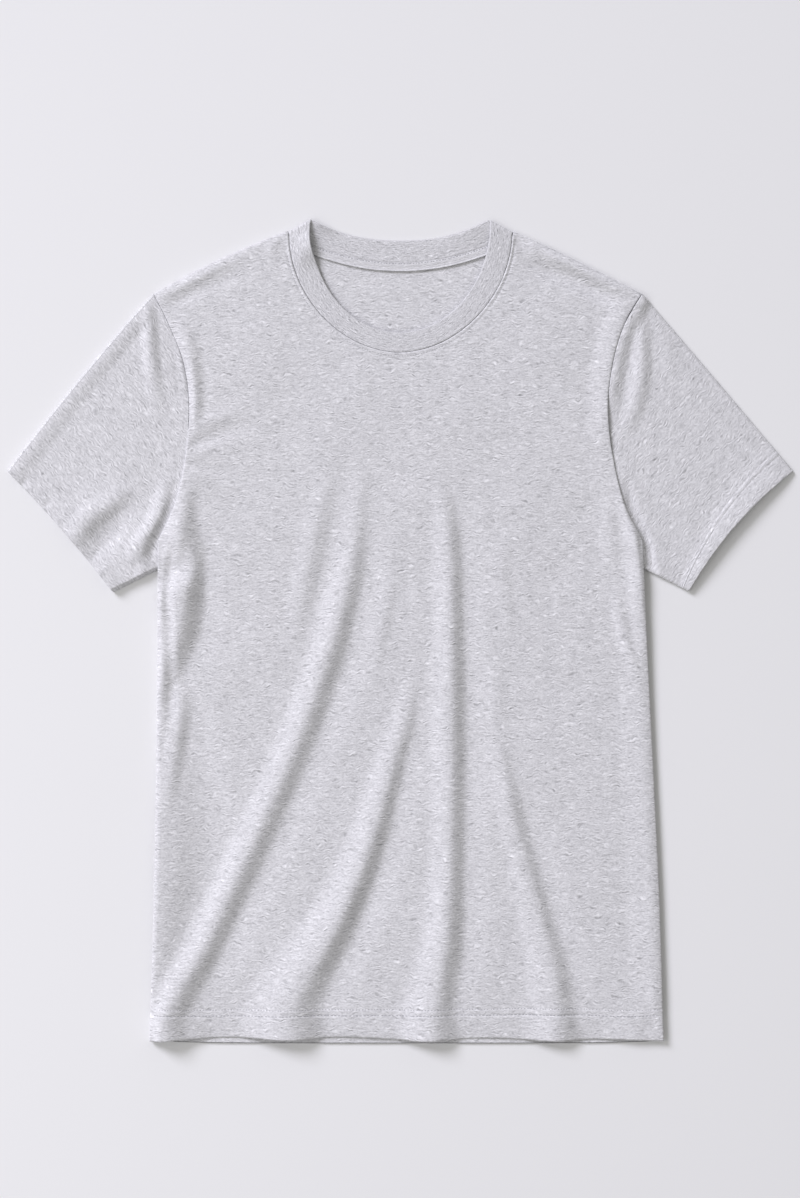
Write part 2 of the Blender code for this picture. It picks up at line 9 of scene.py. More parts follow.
import bpy
import numpy as np
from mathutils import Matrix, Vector


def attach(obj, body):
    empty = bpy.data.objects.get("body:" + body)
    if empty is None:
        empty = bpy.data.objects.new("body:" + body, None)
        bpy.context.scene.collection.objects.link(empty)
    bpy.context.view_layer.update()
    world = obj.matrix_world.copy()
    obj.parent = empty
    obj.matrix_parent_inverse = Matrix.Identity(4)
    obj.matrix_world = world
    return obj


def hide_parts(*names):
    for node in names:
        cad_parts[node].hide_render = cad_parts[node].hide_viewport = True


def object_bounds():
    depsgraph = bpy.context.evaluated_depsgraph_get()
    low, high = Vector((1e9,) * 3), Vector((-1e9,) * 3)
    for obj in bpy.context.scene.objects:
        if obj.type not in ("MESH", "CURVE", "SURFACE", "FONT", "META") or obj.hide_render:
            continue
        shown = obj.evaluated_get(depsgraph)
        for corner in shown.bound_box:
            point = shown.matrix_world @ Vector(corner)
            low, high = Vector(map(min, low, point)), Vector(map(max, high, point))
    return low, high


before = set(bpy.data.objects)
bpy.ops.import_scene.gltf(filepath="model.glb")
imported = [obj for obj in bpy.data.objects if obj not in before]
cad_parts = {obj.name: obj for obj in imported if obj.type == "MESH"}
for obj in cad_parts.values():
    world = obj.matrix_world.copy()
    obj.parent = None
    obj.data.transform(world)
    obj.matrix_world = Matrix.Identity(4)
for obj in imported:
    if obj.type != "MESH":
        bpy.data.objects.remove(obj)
CAD_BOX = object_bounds()

SHIRT_LENGTH = 782.2
MM = (CAD_BOX[1][1] - CAD_BOX[0][1]) / SHIRT_LENGTH

# ---- cloth ----
JERSEY = 1.2
HEM_WALL = 2.0
RIB_WALL = 2.0
TAPE_WALL = 1.0
GAP = 0.3
SEAM_CUT = 0.16

# ---- body, seen from above: one row for each level of its edges ----
Level = namedtuple("Level", "y right left")
NECK_POINT = (106.8, 380.2)
SHOULDER_BOW = {"right": 3.2, "left": 1.4}
ARMHOLE = [
    Level(320.5, -234.0, 229.0),
    Level(291.0, -219.5, 212.0),
    Level(254.0, -205.5, 201.0),
    Level(210.0, -200.5, 196.5),
    Level(160.0, -205.0, 202.5),
    Level(120.0, -214.5, 213.0),
    Level(87.0, -230.0, 229.4),
]
SIDE = [
    Level(87.0, -230.0, 229.4),
    Level(0.0, -230.5, 233.2),
    Level(-120.0, -231.5, 239.2),
    Level(-254.0, -233.5, 245.5),
    Level(-388.0, -238.0, 249.5),
]
HEM_DEPTH = 23.0
HEM_TOP = SIDE[-1].y + HEM_DEPTH
HEM_STEP = 2.5
HEM_ROWS = (-357.9, -363.5)     # the two needle rows of the coverstitch
HEM_THIN = 1.5                  # how much the front thins at its lowest edge
Hem = namedtuple("Hem", "x y")
FRONT_HEM = [
    Hem(-238.0, -388.0),
    Hem(-160.0, -384.8),
    Hem(-106.0, -386.2),
    Hem(-50.0, -384.6),
    Hem(23.0, -387.6),
    Hem(85.0, -385.5),
    Hem(142.0, -387.8),
    Hem(190.0, -386.6),
    Hem(249.5, -388.0),
]
BACK_HEM_DROP = 2.6

# ---- neck ----
NECK_MID_X = -1.0
SEAM_HALF, SEAM_TOP, SEAM_DEPTH, SEAM_POWER = 105.5, 377.0, 111.6, 1.9
EDGE_HALF, EDGE_TOP, EDGE_DEPTH, EDGE_POWER = 85.2, 387.3, 103.3, 2.0
BACK_SEAM_LOW, BACK_EDGE_LOW = 350.4, 371.3
BEND_EDGE = {"right": 4.2, "left": 3.0}        # radius of the fold at the free edge
BEND_SEAM = 2.6
RIB_FRONT_MID = 4.2
TIP_RISE = {"right": 5.0, "left": 0.6}         # how much the free edge rises beside the fold
TIP_LEAN = 0.10                 # how far the band's free edge leans inwards where it folds over
BACK_EDGE_HALF, BACK_EDGE_TOP, BACK_EDGE_POWER = 83.0, 390.2, 2.3
Lift = namedtuple("Lift", "height reach")
# how the back's free edge stands up by the folds
BACK_LIFT = {"right": Lift(4.0, 30.0), "left": Lift(3.2, 55.0)}
RIGHT_EDGE_SWELL = 1.6          # how far the free edge's right half swells outwards by the fold
TAPE_HEIGHT, TAPE_HALF = 8.0, 97.0
RIB_HEIGHT = 22.0               # along the cloth, from seam to free edge

# ---- sleeves, for +X ----
SHOULDER_BULGE = {"right": 2.6, "left": 0.4}
CUFF_TIP = (372.8, 152.5)
CUFF_LOW = (273.2, 38.5)
UNDERARM = (217.0, 66.5)
TUCK_LIFT = JERSEY + 1.5 * GAP
CUFF_BOW = {"right": 2.5, "left": 7.6}
TUCK_TOP, TUCK_FULL = 236.0, 200.0
END_LEVELS = [320.5, 306, 291, 273, 254, 234, 214, 195, 168, 142, 117, 91, 66.5]
TUCKED_X = {168: 201.0, 142: 202.5, 117: 205.0, 91: 210.0, 66.5: 217.0}
SLEEVE_EDGE = 2.3
SLEEVE_GAP = 0.5
SLEEVE_CROWN = {"right": 1.0, "left": 2.4}      # how much a sleeve swells in its middle
TOP_ROLL = {"right": 2.0, "left": -1.2}         # how its top edge stands up, or droops
SEAM_RISE = {"right": -0.5, "left": 4.4}        # how its end stands up beside the armhole
CUFF_LIFT = {"right": 0.8, "left": 3.0}         # how far the cuff gapes
UNDERARM_LIFT = {"right": 4.6, "left": 1.2}     # how high its underarm edge is rolled
UNDERARM_ROLL = {"right": 2.6, "left": 2.8}     # how wide that roll is
UNDERARM_LIP = {"right": 1.0, "left": 0.0}      # how far the lower layer stands out below it
CUFF_HEM = 0.89                 # share of a sleeve's run at which the cuff's doubled cloth starts
SLEEVE_RUN = 215.0              # from armhole to cuff
CUFF_ROWS = (19.5, 24.8)        # the cuff's needle rows, from its edge
CUFF_WELT = 22.1                # the welt between them
CUFF_STITCH = {"right": 0.12, "left": 0.27}     # how deep the cuff's stitch rows are pulled in

# ---- height of the front ----
INNER_HEIGHT = 4.2
Fall = namedtuple("Fall", "drop width")
FALLS = {
    "right_side": Fall(1.8, 5.0),
    "left_side": Fall(1.7, 12.0),
    "shoulder": Fall(0.9, 8.0),
    "left_armhole": Fall(0.3, 4.0),
    "armhole": Fall(1.6, 24.0),
    "neck": Fall(0.1, 22.0),
    "hem": Fall(1.7, 60.0),
}
SIDE_ROLL = 2.0                 # how much the body's left side swells beside its rounded edge
RIM_LOW = 1.5                   # how far down the rounded edges reach
# where each piece's cloth coordinates start, so that no two share the same patch of mottle
CLOTH_AT = {"back": 900.0, "left": 2000.0, "right": 3000.0, "rib": 4000.0, "tape": 5000.0}

# ---- folds: a crest's place and height, the widths of its flanks towards -X and +X, and how far
# ---- the cloth sinks at the foot of the +X flank ----
Crest = namedtuple("Crest", "x y height rise fall dip")


def crests(*rows):
    """A fold's crest, one row for each place down it."""
    return [Crest(*row) for row in rows]


FOOT_WIDTH = 25.0
FOLDS = {
    "right_flank": crests(
        (-209, 120, 0, 10, 14, 0),
        (-209.5, 98, 5.2, 20, 21, 0.4),
        (-206, 76, 8.8, 40, 23, 0.8),
        (-204, 56, 9.6, 58, 22, 1.1),
        (-206, 34, 9.6, 50, 23, 1.2),
        (-210, 5, 8.4, 34, 24, 1),
        (-218, -20, 6, 20, 22, 0.6),
        (-225, -45, 3.2, 12, 18, 0.2),
        (-232, -72, 0, 8, 12, 0),
    ),
    "long_diagonal": crests(
        (-36, 160, 0, 16, 12, 0),
        (-43, 100, 1.8, 19, 15, 0.7),
        (-48.5, 60, 3.7, 21, 18, 1.5),
        (-58, 20, 4.7, 22, 19, 1.8),
        (-69, -20, 5.2, 22, 20, 2),
        (-98, -100, 5.8, 22, 21, 1.7),
        (-141, -200, 6, 22, 21.5, 1.8),
        (-188, -300, 6.2, 23, 21, 1.7),
        (-211, -340, 6, 20, 22, 0.9),
        (-224, -365, 6.6, 14, 26, 0.6),
        (-228, -392, 7.8, 10, 28, 0.5),
    ),
    "lower_diagonal": crests(
        (11, -35, 0, 12, 9, 0),
        (4, -80, 1.8, 15, 14, 1.1),
        (-4.5, -110, 3.1, 18, 15, 1.4),
        (-14, -145, 4.5, 22, 16.5, 1.5),
        (-30, -200, 6, 25, 19, 1.8),
        (-53.5, -260, 7.7, 30, 20.5, 2.3),
        (-74, -300, 8, 36, 23, 1.8),
        (-98, -340, 8.6, 46, 30, 0.9),
        (-106, -365, 10, 50, 38, 0.6),
        (-107, -392, 12.2, 48, 40, 0.5),
    ),
    "upright": crests(
        (37, 150, 0, 14, 8, 0),
        (41, 122, 1.6, 16, 11, 0.3),
        (44.5, 95, 3.3, 18, 14, 1),
        (46.5, 50, 4.1, 20, 15.5, 1.7),
        (47, -20, 4.4, 21, 17, 2.3),
        (47, -100, 4.7, 22, 18, 2.5),
        (46, -200, 5.3, 22, 18, 2),
        (44.5, -250, 6, 23, 19, 1.6),
        (41, -300, 7, 27, 21, 1.6),
        (33, -345, 7.1, 34, 24, 1),
        (29, -370, 9, 36, 30, 0.6),
        (29, -392, 11.4, 35, 33, 0.5),
    ),
    "left_hip": crests(
        (91, -100, 0, 12, 8, 0),
        (97, -130, 1.8, 16, 12, 0.7),
        (102.5, -160, 3.1, 18, 14.5, 1.1),
        (111.5, -200, 3.3, 20, 15, 1.5),
        (122.5, -240, 3.6, 22, 15.5, 1.8),
        (133.5, -280, 4, 26, 16, 1.8),
        (143.5, -320, 5.3, 32, 19, 1.1),
        (146.5, -350, 6, 36, 22, 0.7),
        (147, -392, 7.6, 34, 30, 0.4),
    ),
    "midriff": crests(
        (-66, 160, 0, 14, 12, 0),
        (-80, 105, 1.6, 16, 16, 0.7),
        (-88, 65, 2, 16, 17, 0.9),
        (-95, 30, 1.6, 15, 16, 0.7),
        (-103, -15, 0, 12, 12, 0),
    ),
    "waist": crests(
        (-9, 60, 0, 12, 10, 0),
        (-15, 20, 1, 13, 12, 0.3),
        (-21, -15, 0.7, 13, 11, 0.2),
        (-26, -60, 0, 12, 9, 0),
    ),
    "right_side": crests(
        (-208, -45, 0, 10, 9, 0),
        (-208.5, -75, 2.3, 13, 12, 0.3),
        (-213, -105, 2.5, 13, 12.5, 0.5),
        (-217, -135, 1.8, 12, 12, 0.2),
        (-222, -175, 0, 10, 10, 0),
    ),
    "left_side": crests(
        (203, 44, 0, 10, 7, 0),
        (206.5, 18, 1.5, 10, 9, 0.3),
        (212, -3, 1.7, 10, 9, 0.5),
        (218, -24, 1.5, 9, 9, 0.2),
        (226, -55, 0, 8, 8, 0),
    ),
    "left_belly": crests(
        (97, 95, 0, 12, 10, 0),
        (95, 60, 0.9, 14, 12, 0.2),
        (99, 30, 0.9, 14, 12, 0.2),
        (104, -10, 0, 12, 10, 0),
    ),
    "left_middle": crests(
        (92, -25, 0, 12, 9, 0),
        (92, -55, 0.8, 13, 11, 0.2),
        (95, -85, 0.6, 13, 10, 0.1),
        (97, -112, 0, 12, 9, 0),
    ),
}

# ---- small creases: soft ridges, or troughs where the height is negative ----
Crease = namedtuple("Crease", "x y height width")


def creases(*rows):
    """A crease, one row for each place along it."""
    return [Crease(*row) for row in rows]


BODY_CREASES = {
    "right_chest_ridge": creases(
        (-200, 188, 0.7, 9),
        (-182, 199, 1.1, 10),
        (-160, 208, 0.8, 10),
        (-135, 216, 0, 9),
    ),
    "right_chest_trough": creases(
        (-199, 176, -0.8, 8),
        (-180, 184, -1.3, 9),
        (-158, 192, -1, 10),
        (-130, 199, 0, 9),
    ),
    "right_low_ridge": creases(
        (-200, 170, 0.4, 8),
        (-175, 174, 0.6, 8),
        (-145, 176, 0, 8),
    ),
    "right_low_trough": creases(
        (-203, 159, -0.8, 8),
        (-180, 155, -0.9, 8),
        (-150, 152, 0, 8),
    ),
    "right_armhole_ridge": creases(
        (-210, 300, 0, 12.5),
        (-203, 272, 3.2, 15),
        (-199, 240, 4.2, 15),
        (-198, 212, 2.9, 13.8),
        (-201, 190, 0, 10),
    ),
    "right_armhole_trough": creases(
        (-199, 290, 0, 10),
        (-191, 262, -0.3, 11),
        (-187, 238, -0.5, 12),
        (-186, 214, -0.3, 11),
        (-190, 196, 0, 9),
    ),
    "right_underarm": creases(
        (-204, 150, 0, 10),
        (-196, 124, -0.8, 12),
        (-190, 95, 0, 12),
    ),
    "left_chest": creases(
        (192, 176, -0.3, 8),
        (170, 198, -0.7, 9),
        (140, 220, 0, 9),
    ),
    "left_shoulder_trough": creases(
        (110.4, 353.4, 0, 10),
        (136.4, 343.4, -3, 13),
        (162.4, 333.4, -3.8, 13),
        (190.4, 319.4, -3.4, 12),
        (210.4, 308.4, 0, 9),
    ),
    "left_shoulder_roll": creases(
        (115, 371.6, 0, 9),
        (143, 358.6, 2.2, 11),
        (169, 345.6, 2.8, 11),
        (197, 331.6, 2.3, 11),
        (221, 319.6, 0, 9),
    ),
    "right_shoulder_roll": creases(
        (-140, 363, 0, 10),
        (-170, 348.5, 0.8, 10),
        (-200, 333, 1.2, 10),
        (-226, 321, 0.8, 8),
    ),
    "right_shoulder_trough": creases(
        (-130, 350, 0, 12),
        (-168, 335, -1, 12),
        (-192, 323, -1.5, 11),
        (-210, 314, -1.5, 9),
        (-224, 308, -0.6, 7),
    ),
    "right_neck_streak": creases(
        (-118, 376, 0.4, 5),
        (-121, 364, 0.7, 6),
        (-126, 350, 0, 6),
    ),
    "left_neck_tuck": creases(
        (110, 377, -0.4, 4),
        (114, 364, -1.1, 5),
        (121, 346, 0, 6),
    ),
    "left_waist": creases(
        (198, 150, 0, 10),
        (198, 90, 0.7, 12),
        (196, 20, 0, 12),
    ),
}
EDGE_CREASES = {
    "right_hip_rise": creases(
        (-234, -40, 0, 28),
        (-232, -100, 2, 34),
        (-229, -200, 2.2, 34),
        (-231, -280, 2, 34),
        (-238, -335, 0.4, 24),
    ),
    "right_hip_hollow": creases(
        (-190, -60, 0, 22),
        (-187, -120, -2, 28),
        (-182, -180, -2.4, 32),
        (-187, -235, -2.6, 32),
        (-199, -285, -2.2, 28),
        (-213, -330, 0, 18),
    ),
    "right_low_swell": creases(
        (-236, -110, 0, 60),
        (-236, -190, 3.5, 80),
        (-238, -260, 4.6, 86),
        (-240, -330, 4.3, 84),
        (-242, -392, 3, 76),
    ),
    "left_underarm_rim": creases(
        (209, 150, 0, 5),
        (217, 117, -3, 6),
        (227.5, 92, -3.8, 7),
        (231.5, 66, -4.2, 7),
        (233, 40, -2.2, 6),
        (235, 0, 0, 5),
    ),
    "right_underarm_ridge": creases(
        (-198, 168, 0, 10),
        (-201, 144, 1.3, 14),
        (-207.5, 116, 4.8, 18),
        (-209, 90, 6.6, 20),
        (-211, 60, 0, 22),
    ),
    "left_armhole_swell": creases(
        (216, 318, 0, 12),
        (206, 290, 2.7, 20),
        (199, 255, 3.5, 22),
        (196, 220, 2.9, 23),
        (197, 190, 1.6, 19),
        (201, 165, 0, 14),
    ),
    "right_edge_groove": creases(
        (-215, 92, 0, 6),
        (-218, 60, -2.2, 7.5),
        (-220, 30, -3, 7.5),
        (-219, 0, -2.6, 8),
        (-217.5, -60, -1.6, 8),
        (-216, -100, 0, 7),
    ),
    "right_hem_corner": creases(
        (-218, -330, 0, 22),
        (-210, -368, 2.6, 32),
        (-208, -392, 4.6, 34),
    ),
    "left_hem_corner": creases(
        (226, -340, 0, 24),
        (222, -372, 2, 34),
        (221, -392, 3.4, 36),
    ),
    "left_underarm_lift": creases(
        (208, 150, 0, 12),
        (216, 120, 2.5, 16),
        (228, 88, 4.9, 19),
        (232, 50, 5.3, 20),
        (234, 0, 3.1, 19),
        (238, -80, 1.4, 17),
        (244, -240, 1.3, 17),
        (250, -392, 2.1, 18),
    ),
}
SLEEVE_CREASES = {
    "left": {
        "underarm_trough": creases(
            (213, 150, 0, 6),
            (220, 117, -2.4, 7),
            (231, 92, -2.8, 7.5),
            (237, 66, -2.8, 8),
            (240, 48, 0, 8),
        ),
        "head_ridge": creases(
            (229, 306, 0, 8),
            (228.5, 277, 2.6, 10.5),
            (228, 246, 3, 12.5),
            (222, 214, 2.6, 13),
            (213, 184, 0, 10),
        ),
        "outer_ridge": creases(
            (240, 308, 0, 10),
            (251, 280, 0.6, 12),
            (256, 245, 0.4, 12),
            (254, 215, 0, 12),
        ),
    },
    "right": {
        "head_crest": creases(
            (-239, 312, 0, 8),
            (-238.5, 290, 3.4, 10),
            (-237, 262, 3.7, 11),
            (-233, 232, 2.2, 11),
            (-226, 198, 0, 11),
        ),
        "seam_crest": creases(
            (-216, 306, 0, 7),
            (-207, 275, 1.4, 10),
            (-202, 240, 1.6, 10),
            (-201, 205, 0, 9),
        ),
        "upper_crest": creases(
            (-255, 140, 0, 12),
            (-276, 122, 1.8, 15),
            (-297, 108, 2.7, 16),
            (-311, 88, 1.9, 14),
        ),
        "upper_swell": creases(
            (-248, 152, 0, 30),
            (-275, 127, 2, 38),
            (-300, 109, 2.4, 38),
            (-320, 90, 1.8, 34),
        ),
        "upper_trough": creases(
            (-246, 132, 0, 12),
            (-266, 108, -2.6, 18),
            (-281, 88, -3.5, 21),
            (-292, 70, -2.2, 18),
        ),
        "under_crest": creases(
            (-222, 148, 0, 9),
            (-226, 124, 2.8, 12),
            (-233, 103, 4, 13),
            (-248, 82, 3.1, 13),
            (-260, 62, 0, 11),
        ),
        "under_trough": creases(
            (-210, 142, 0, 9),
            (-212, 116, -2, 11),
            (-219, 94, -2.9, 12),
            (-234, 73, -2.2, 12),
            (-244, 58, 0, 10),
        ),
        "cuff_tuck_tip": creases(
            (-359, 138, -0.8, 4.5),
            (-353, 150, 0, 5),
        ),
        "cuff_tuck_high": creases(
            (-336, 120, -0.6, 4),
            (-329, 130, 0, 4.5),
        ),
        "cuff_tuck_mid": creases(
            (-291, 70, -0.8, 4),
            (-284, 84, 0, 4.5),
        ),
        "cuff_tuck_low": creases(
            (-253, 52, -0.8, 4),
            (-251, 68, 0, 4.5),
        ),
    },
}
BACK_CREASES = {
    "right_long": creases(
        (-120, 210, 0, 16),
        (-138, 60, 1.2, 20),
        (-176, -150, 1.5, 19),
        (-196, -330, 0, 17),
    ),
    "middle": creases(
        (-20, 60, 0, 14),
        (-34, -90, 1.4, 18),
        (-66, -260, 1.3, 22),
        (-74, -345, 0, 20),
    ),
    "upright": creases(
        (62, 150, 0, 15),
        (66, -20, 1.3, 17),
        (72, -240, 1.5, 19),
        (64, -345, 0, 20),
    ),
    "left_long": creases(
        (150, 40, 0, 13),
        (160, -110, 1, 16),
        (190, -300, 0, 15),
    ),
    "yoke_right": creases(
        (-150, 290, 0, 12),
        (-95, 262, 0.9, 14),
        (-40, 255, 0, 13),
    ),
    "yoke_left": creases(
        (160, 250, 0, 12),
        (115, 268, 0.8, 13),
        (60, 300, 0, 12),
    ),
    "nape": creases(
        (-70, 330, 0, 8),
        (-20, 322, 0.5, 10),
        (45, 330, 0, 8),
    ),
}


# ---- curves ----
def along(rows, at, column, key=None):
    """Read a column of a table at values of its key column, on a smooth curve through the rows.

    The key is the first column unless another is named; "row" stands for the rows' own numbers."""
    key = key or rows[0]._fields[0]
    keys = np.array([k if key == "row" else getattr(row, key) for k, row in enumerate(rows)], float)
    values = np.array([getattr(row, column) for row in rows], float)
    if keys[0] > keys[-1]:
        keys, values = keys[::-1], values[::-1]
    slopes = np.empty_like(values)
    slopes[1:-1] = (values[2:] - values[:-2]) / (keys[2:] - keys[:-2])
    slopes[0] = (values[1] - values[0]) / (keys[1] - keys[0])
    slopes[-1] = (values[-1] - values[-2]) / (keys[-1] - keys[-2])
    at = np.clip(np.asarray(at, float), keys[0], keys[-1])
    i = np.clip(np.searchsorted(keys, at, side="right") - 1, 0, len(keys) - 2)
    span = keys[i + 1] - keys[i]
    q = (at - keys[i]) / span
    return (
        values[i] * (1 + 2 * q) * (1 - q) ** 2
        + values[i + 1] * q * q * (3 - 2 * q)
        + span * (slopes[i] * q * (1 - q) ** 2 - slopes[i + 1] * q * q * (1 - q))
    )


def ease(low, high, value):
    """0 up to low, 1 from high on, smooth between."""
    q = np.clip((value - low) / (high - low), 0.0, 1.0)
    return q * q * (3 - 2 * q)


def hump(offset, width):
    """A smooth bump of height 1, from -width to width."""
    return 0.5 + 0.5 * np.cos(pi * np.clip(np.abs(offset) / width, 0.0, 1.0))


def bowed(start, end, shares, bow):
    """Points between two others on a shallow arc that stands off to the left of their line."""
    start, end, shares = np.asarray(start, float), np.asarray(end, float), np.asarray(shares, float)
    run = end - start
    normal = np.array([-run[1], run[0]]) / np.hypot(*run)
    lift = 4 * bow * shares * (1 - shares)
    return start + shares[..., None] * run + lift[..., None] * normal


def arch(shares, half, top, depth, power, away=0.0):
    """The neck's front curve, from its left end (0) to its right end (1), moved outwards."""
    angle = pi * np.asarray(shares, float)
    x = half * np.abs(np.cos(angle)) ** (2 / power) * np.sign(np.cos(angle))
    y = top - depth * np.abs(np.sin(angle)) ** (2 / power)
    out = np.stack([x / half ** 2, (y - top) / depth ** 2], -1)
    out /= np.linalg.norm(out, axis=-1, keepdims=True)
    return np.stack([NECK_MID_X * np.sin(angle) + x, y], -1) + out * away


def back_neck(shares, half, top, low, away=0.0, power=2.0):
    """The back neck's shallow curve, from its left end (0) to its right end (1), moved down."""
    s = 1 - 2 * np.asarray(shares, float)
    slope = power * (top - low) * np.sign(s) * np.abs(s) ** (power - 1) / half
    length = np.hypot(1, slope)
    return np.stack([half * s + away * slope / length,
                     low + (top - low) * np.abs(s) ** power - away / length], -1)


def spaced(points, shares):
    """Points at shares of a curve's length."""
    points = np.asarray(points, float)
    steps = np.linalg.norm(np.diff(points, axis=0), axis=1)
    length = np.concatenate([[0.0], np.cumsum(steps)]) / steps.sum()
    return np.stack([np.interp(shares, length, points[:, k]) for k in range(points.shape[1])], -1)


def arc_length(points):
    """Distance run along a curve at each of its points."""
    steps = np.linalg.norm(np.diff(points, axis=0), axis=1)
    return np.concatenate([[0.0], np.cumsum(steps)])


def offsets(x, y, line):
    """Distance of points from an open line, the side they lie on (1 is left), and where along it."""
    line = np.asarray(line, float)
    best = np.full(x.shape, 1e9)
    side = np.ones(x.shape)
    place = np.zeros(x.shape)
    for k, (a, b) in enumerate(zip(line[:-1], line[1:])):
        dx, dy = b - a
        square = dx * dx + dy * dy
        if square < 1e-9:
            continue
        q = np.clip(((x - a[0]) * dx + (y - a[1]) * dy) / square, 0.0, 1.0)
        ox, oy = x - a[0] - dx * q, y - a[1] - dy * q
        d = np.hypot(ox, oy)
        nearer = d < best
        best = np.where(nearer, d, best)
        side = np.where(nearer, np.where(dx * oy - dy * ox < 0, -1.0, 1.0), side)
        place = np.where(nearer, k + q, place)
    return best, side, place / (len(line) - 1)


def depth_inside(x, y, outline):
    """Distance to a closed outline, positive inside it."""
    closed = np.vstack([outline, outline[:1]])
    nearest = offsets(x, y, closed)[0]
    inside = np.zeros(x.shape, bool)
    for a, b in zip(closed[:-1], closed[1:]):
        if a[1] != b[1]:
            crosses = ((a[1] > y) != (b[1] > y)) & (x < a[0] + (y - a[1]) / (b[1] - a[1]) * (b[0] - a[0]))
            inside ^= crosses
    return np.where(inside, nearest, -nearest)


def ripples(x, y, seed, length, stretch=1.0, waves=18):
    """A smooth random field of about -1 to 1 whose waves are about a length long, longer along x."""
    dice = np.random.default_rng(seed)
    field = np.zeros(np.shape(x))
    for _ in range(waves):
        turn, phase = dice.uniform(0, 2 * pi, 2)
        rate = 2 * pi / length * dice.uniform(0.7, 1.35)
        field += np.cos(rate * (x * np.cos(turn) / stretch + y * np.sin(turn)) + phase)
    return field / sqrt(waves)


def follow(rows, steps, x, y):
    """Distance from a table's smooth line, the side of it, and a reader of its columns there."""
    last = len(rows) - 1
    fine = np.linspace(0, last, steps * last + 1)
    line = np.stack([along(rows, fine, column, "row") for column in ("x", "y")], -1)
    distance, side, place = offsets(x, y, line)
    return distance, side, lambda column: along(rows, place * last, column, "row")


def fold_lift(folds, x, y):
    """How high the folds lift the cloth; a fold's rows run down it, its fall is on its +X side."""
    highest = np.zeros(x.shape)
    sunk = np.zeros(x.shape)
    for rows in folds.values():
        distance, side, read = follow(rows, 12, x, y)
        falls = side > 0
        width = np.maximum(np.where(falls, read("fall"), read("rise")), 1.0)
        dip = np.where(falls, read("dip"), 0.0)
        lift = (read("height") + dip) * hump(distance, width) - dip
        lift = np.where(distance < width, lift, -dip * hump(distance - width, FOOT_WIDTH))
        highest = np.maximum(highest, lift)
        sunk = np.minimum(sunk, lift)
    return highest + sunk


def crease_lift(table, x, y):
    """How high the small creases lift the cloth, or lower it."""
    total = np.zeros(x.shape)
    for rows in table.values():
        distance, _, read = follow(rows, 8, x, y)
        total += read("height") * hump(distance, read("width"))
    return total


# ---- plan of the panels ----
def body_borders(is_front):
    """A panel's borders as named lines of points, anticlockwise from the hem's right end."""
    right_foot, left_foot = SIDE[-1].right, SIDE[-1].left
    share = np.linspace(0, 1, 53)
    x = right_foot + (left_foot - right_foot) * share
    if is_front:
        hem_y = along(FRONT_HEM, x, "y")
    else:
        hem_y = FRONT_HEM[0].y - BACK_HEM_DROP * (1 - (2 * share - 1) ** 6)
    side_y = np.linspace(SIDE[-1].y, SIDE[0].y, 40)
    arm_y = np.linspace(ARMHOLE[-1].y, ARMHOLE[0].y, 40)
    left_side = np.stack([along(SIDE, side_y, "left"), side_y], -1)
    right_side = np.stack([along(SIDE, side_y, "right"), side_y], -1)
    left_arm = np.stack([along(ARMHOLE, arm_y, "left"), arm_y], -1)
    right_arm = np.stack([along(ARMHOLE, arm_y, "right"), arm_y], -1)
    if is_front:
        neck = arch(np.linspace(0, 1, 90), SEAM_HALF, SEAM_TOP, SEAM_DEPTH, SEAM_POWER, SEAM_CUT)
    else:
        neck = back_neck(np.linspace(0, 1, 60), SEAM_HALF, SEAM_TOP, BACK_SEAM_LOW, SEAM_CUT)
    steps = np.linspace(0, 1, 16)
    left_neck = np.array(NECK_POINT)
    right_neck = left_neck * (-1, 1)
    return {
        "hem": np.stack([x, hem_y], -1),
        "left_side": left_side,
        "left_armhole": left_arm,
        "left_shoulder": bowed(left_arm[-1], left_neck, steps, -SHOULDER_BOW["left"]),
        "neck": neck,
        "right_shoulder": bowed(right_neck, right_arm[-1], steps, -SHOULDER_BOW["right"]),
        "right_armhole": right_arm[::-1],
        "right_side": right_side[::-1],
    }


def patch(bottom, top, first, last, across, up):
    """Points between four border curves, by rows from bottom to top, fanned out towards the top."""
    u, v = across[None, :, None], up[:, None, None]
    v = np.concatenate([v ** 5, v], -1)
    grid = (1 - v) * bottom[None] + v * top[None]
    for side, corner, weight in ((first, 0, (1 - u) ** 6), (last, -1, u ** 6)):
        straight = (1 - v[:, 0]) * bottom[corner] + v[:, 0] * top[corner]
        grid = grid + weight * (side - straight)[:, None]
    return grid


def runs(*stretches):
    """Ascending values through stretches of (end, number of steps), starting at 0."""
    values, start = [np.array([0.0])], 0.0
    for end, steps in stretches:
        values.append(np.linspace(start, end, steps + 1)[1:])
        start = end
    return np.concatenate(values)


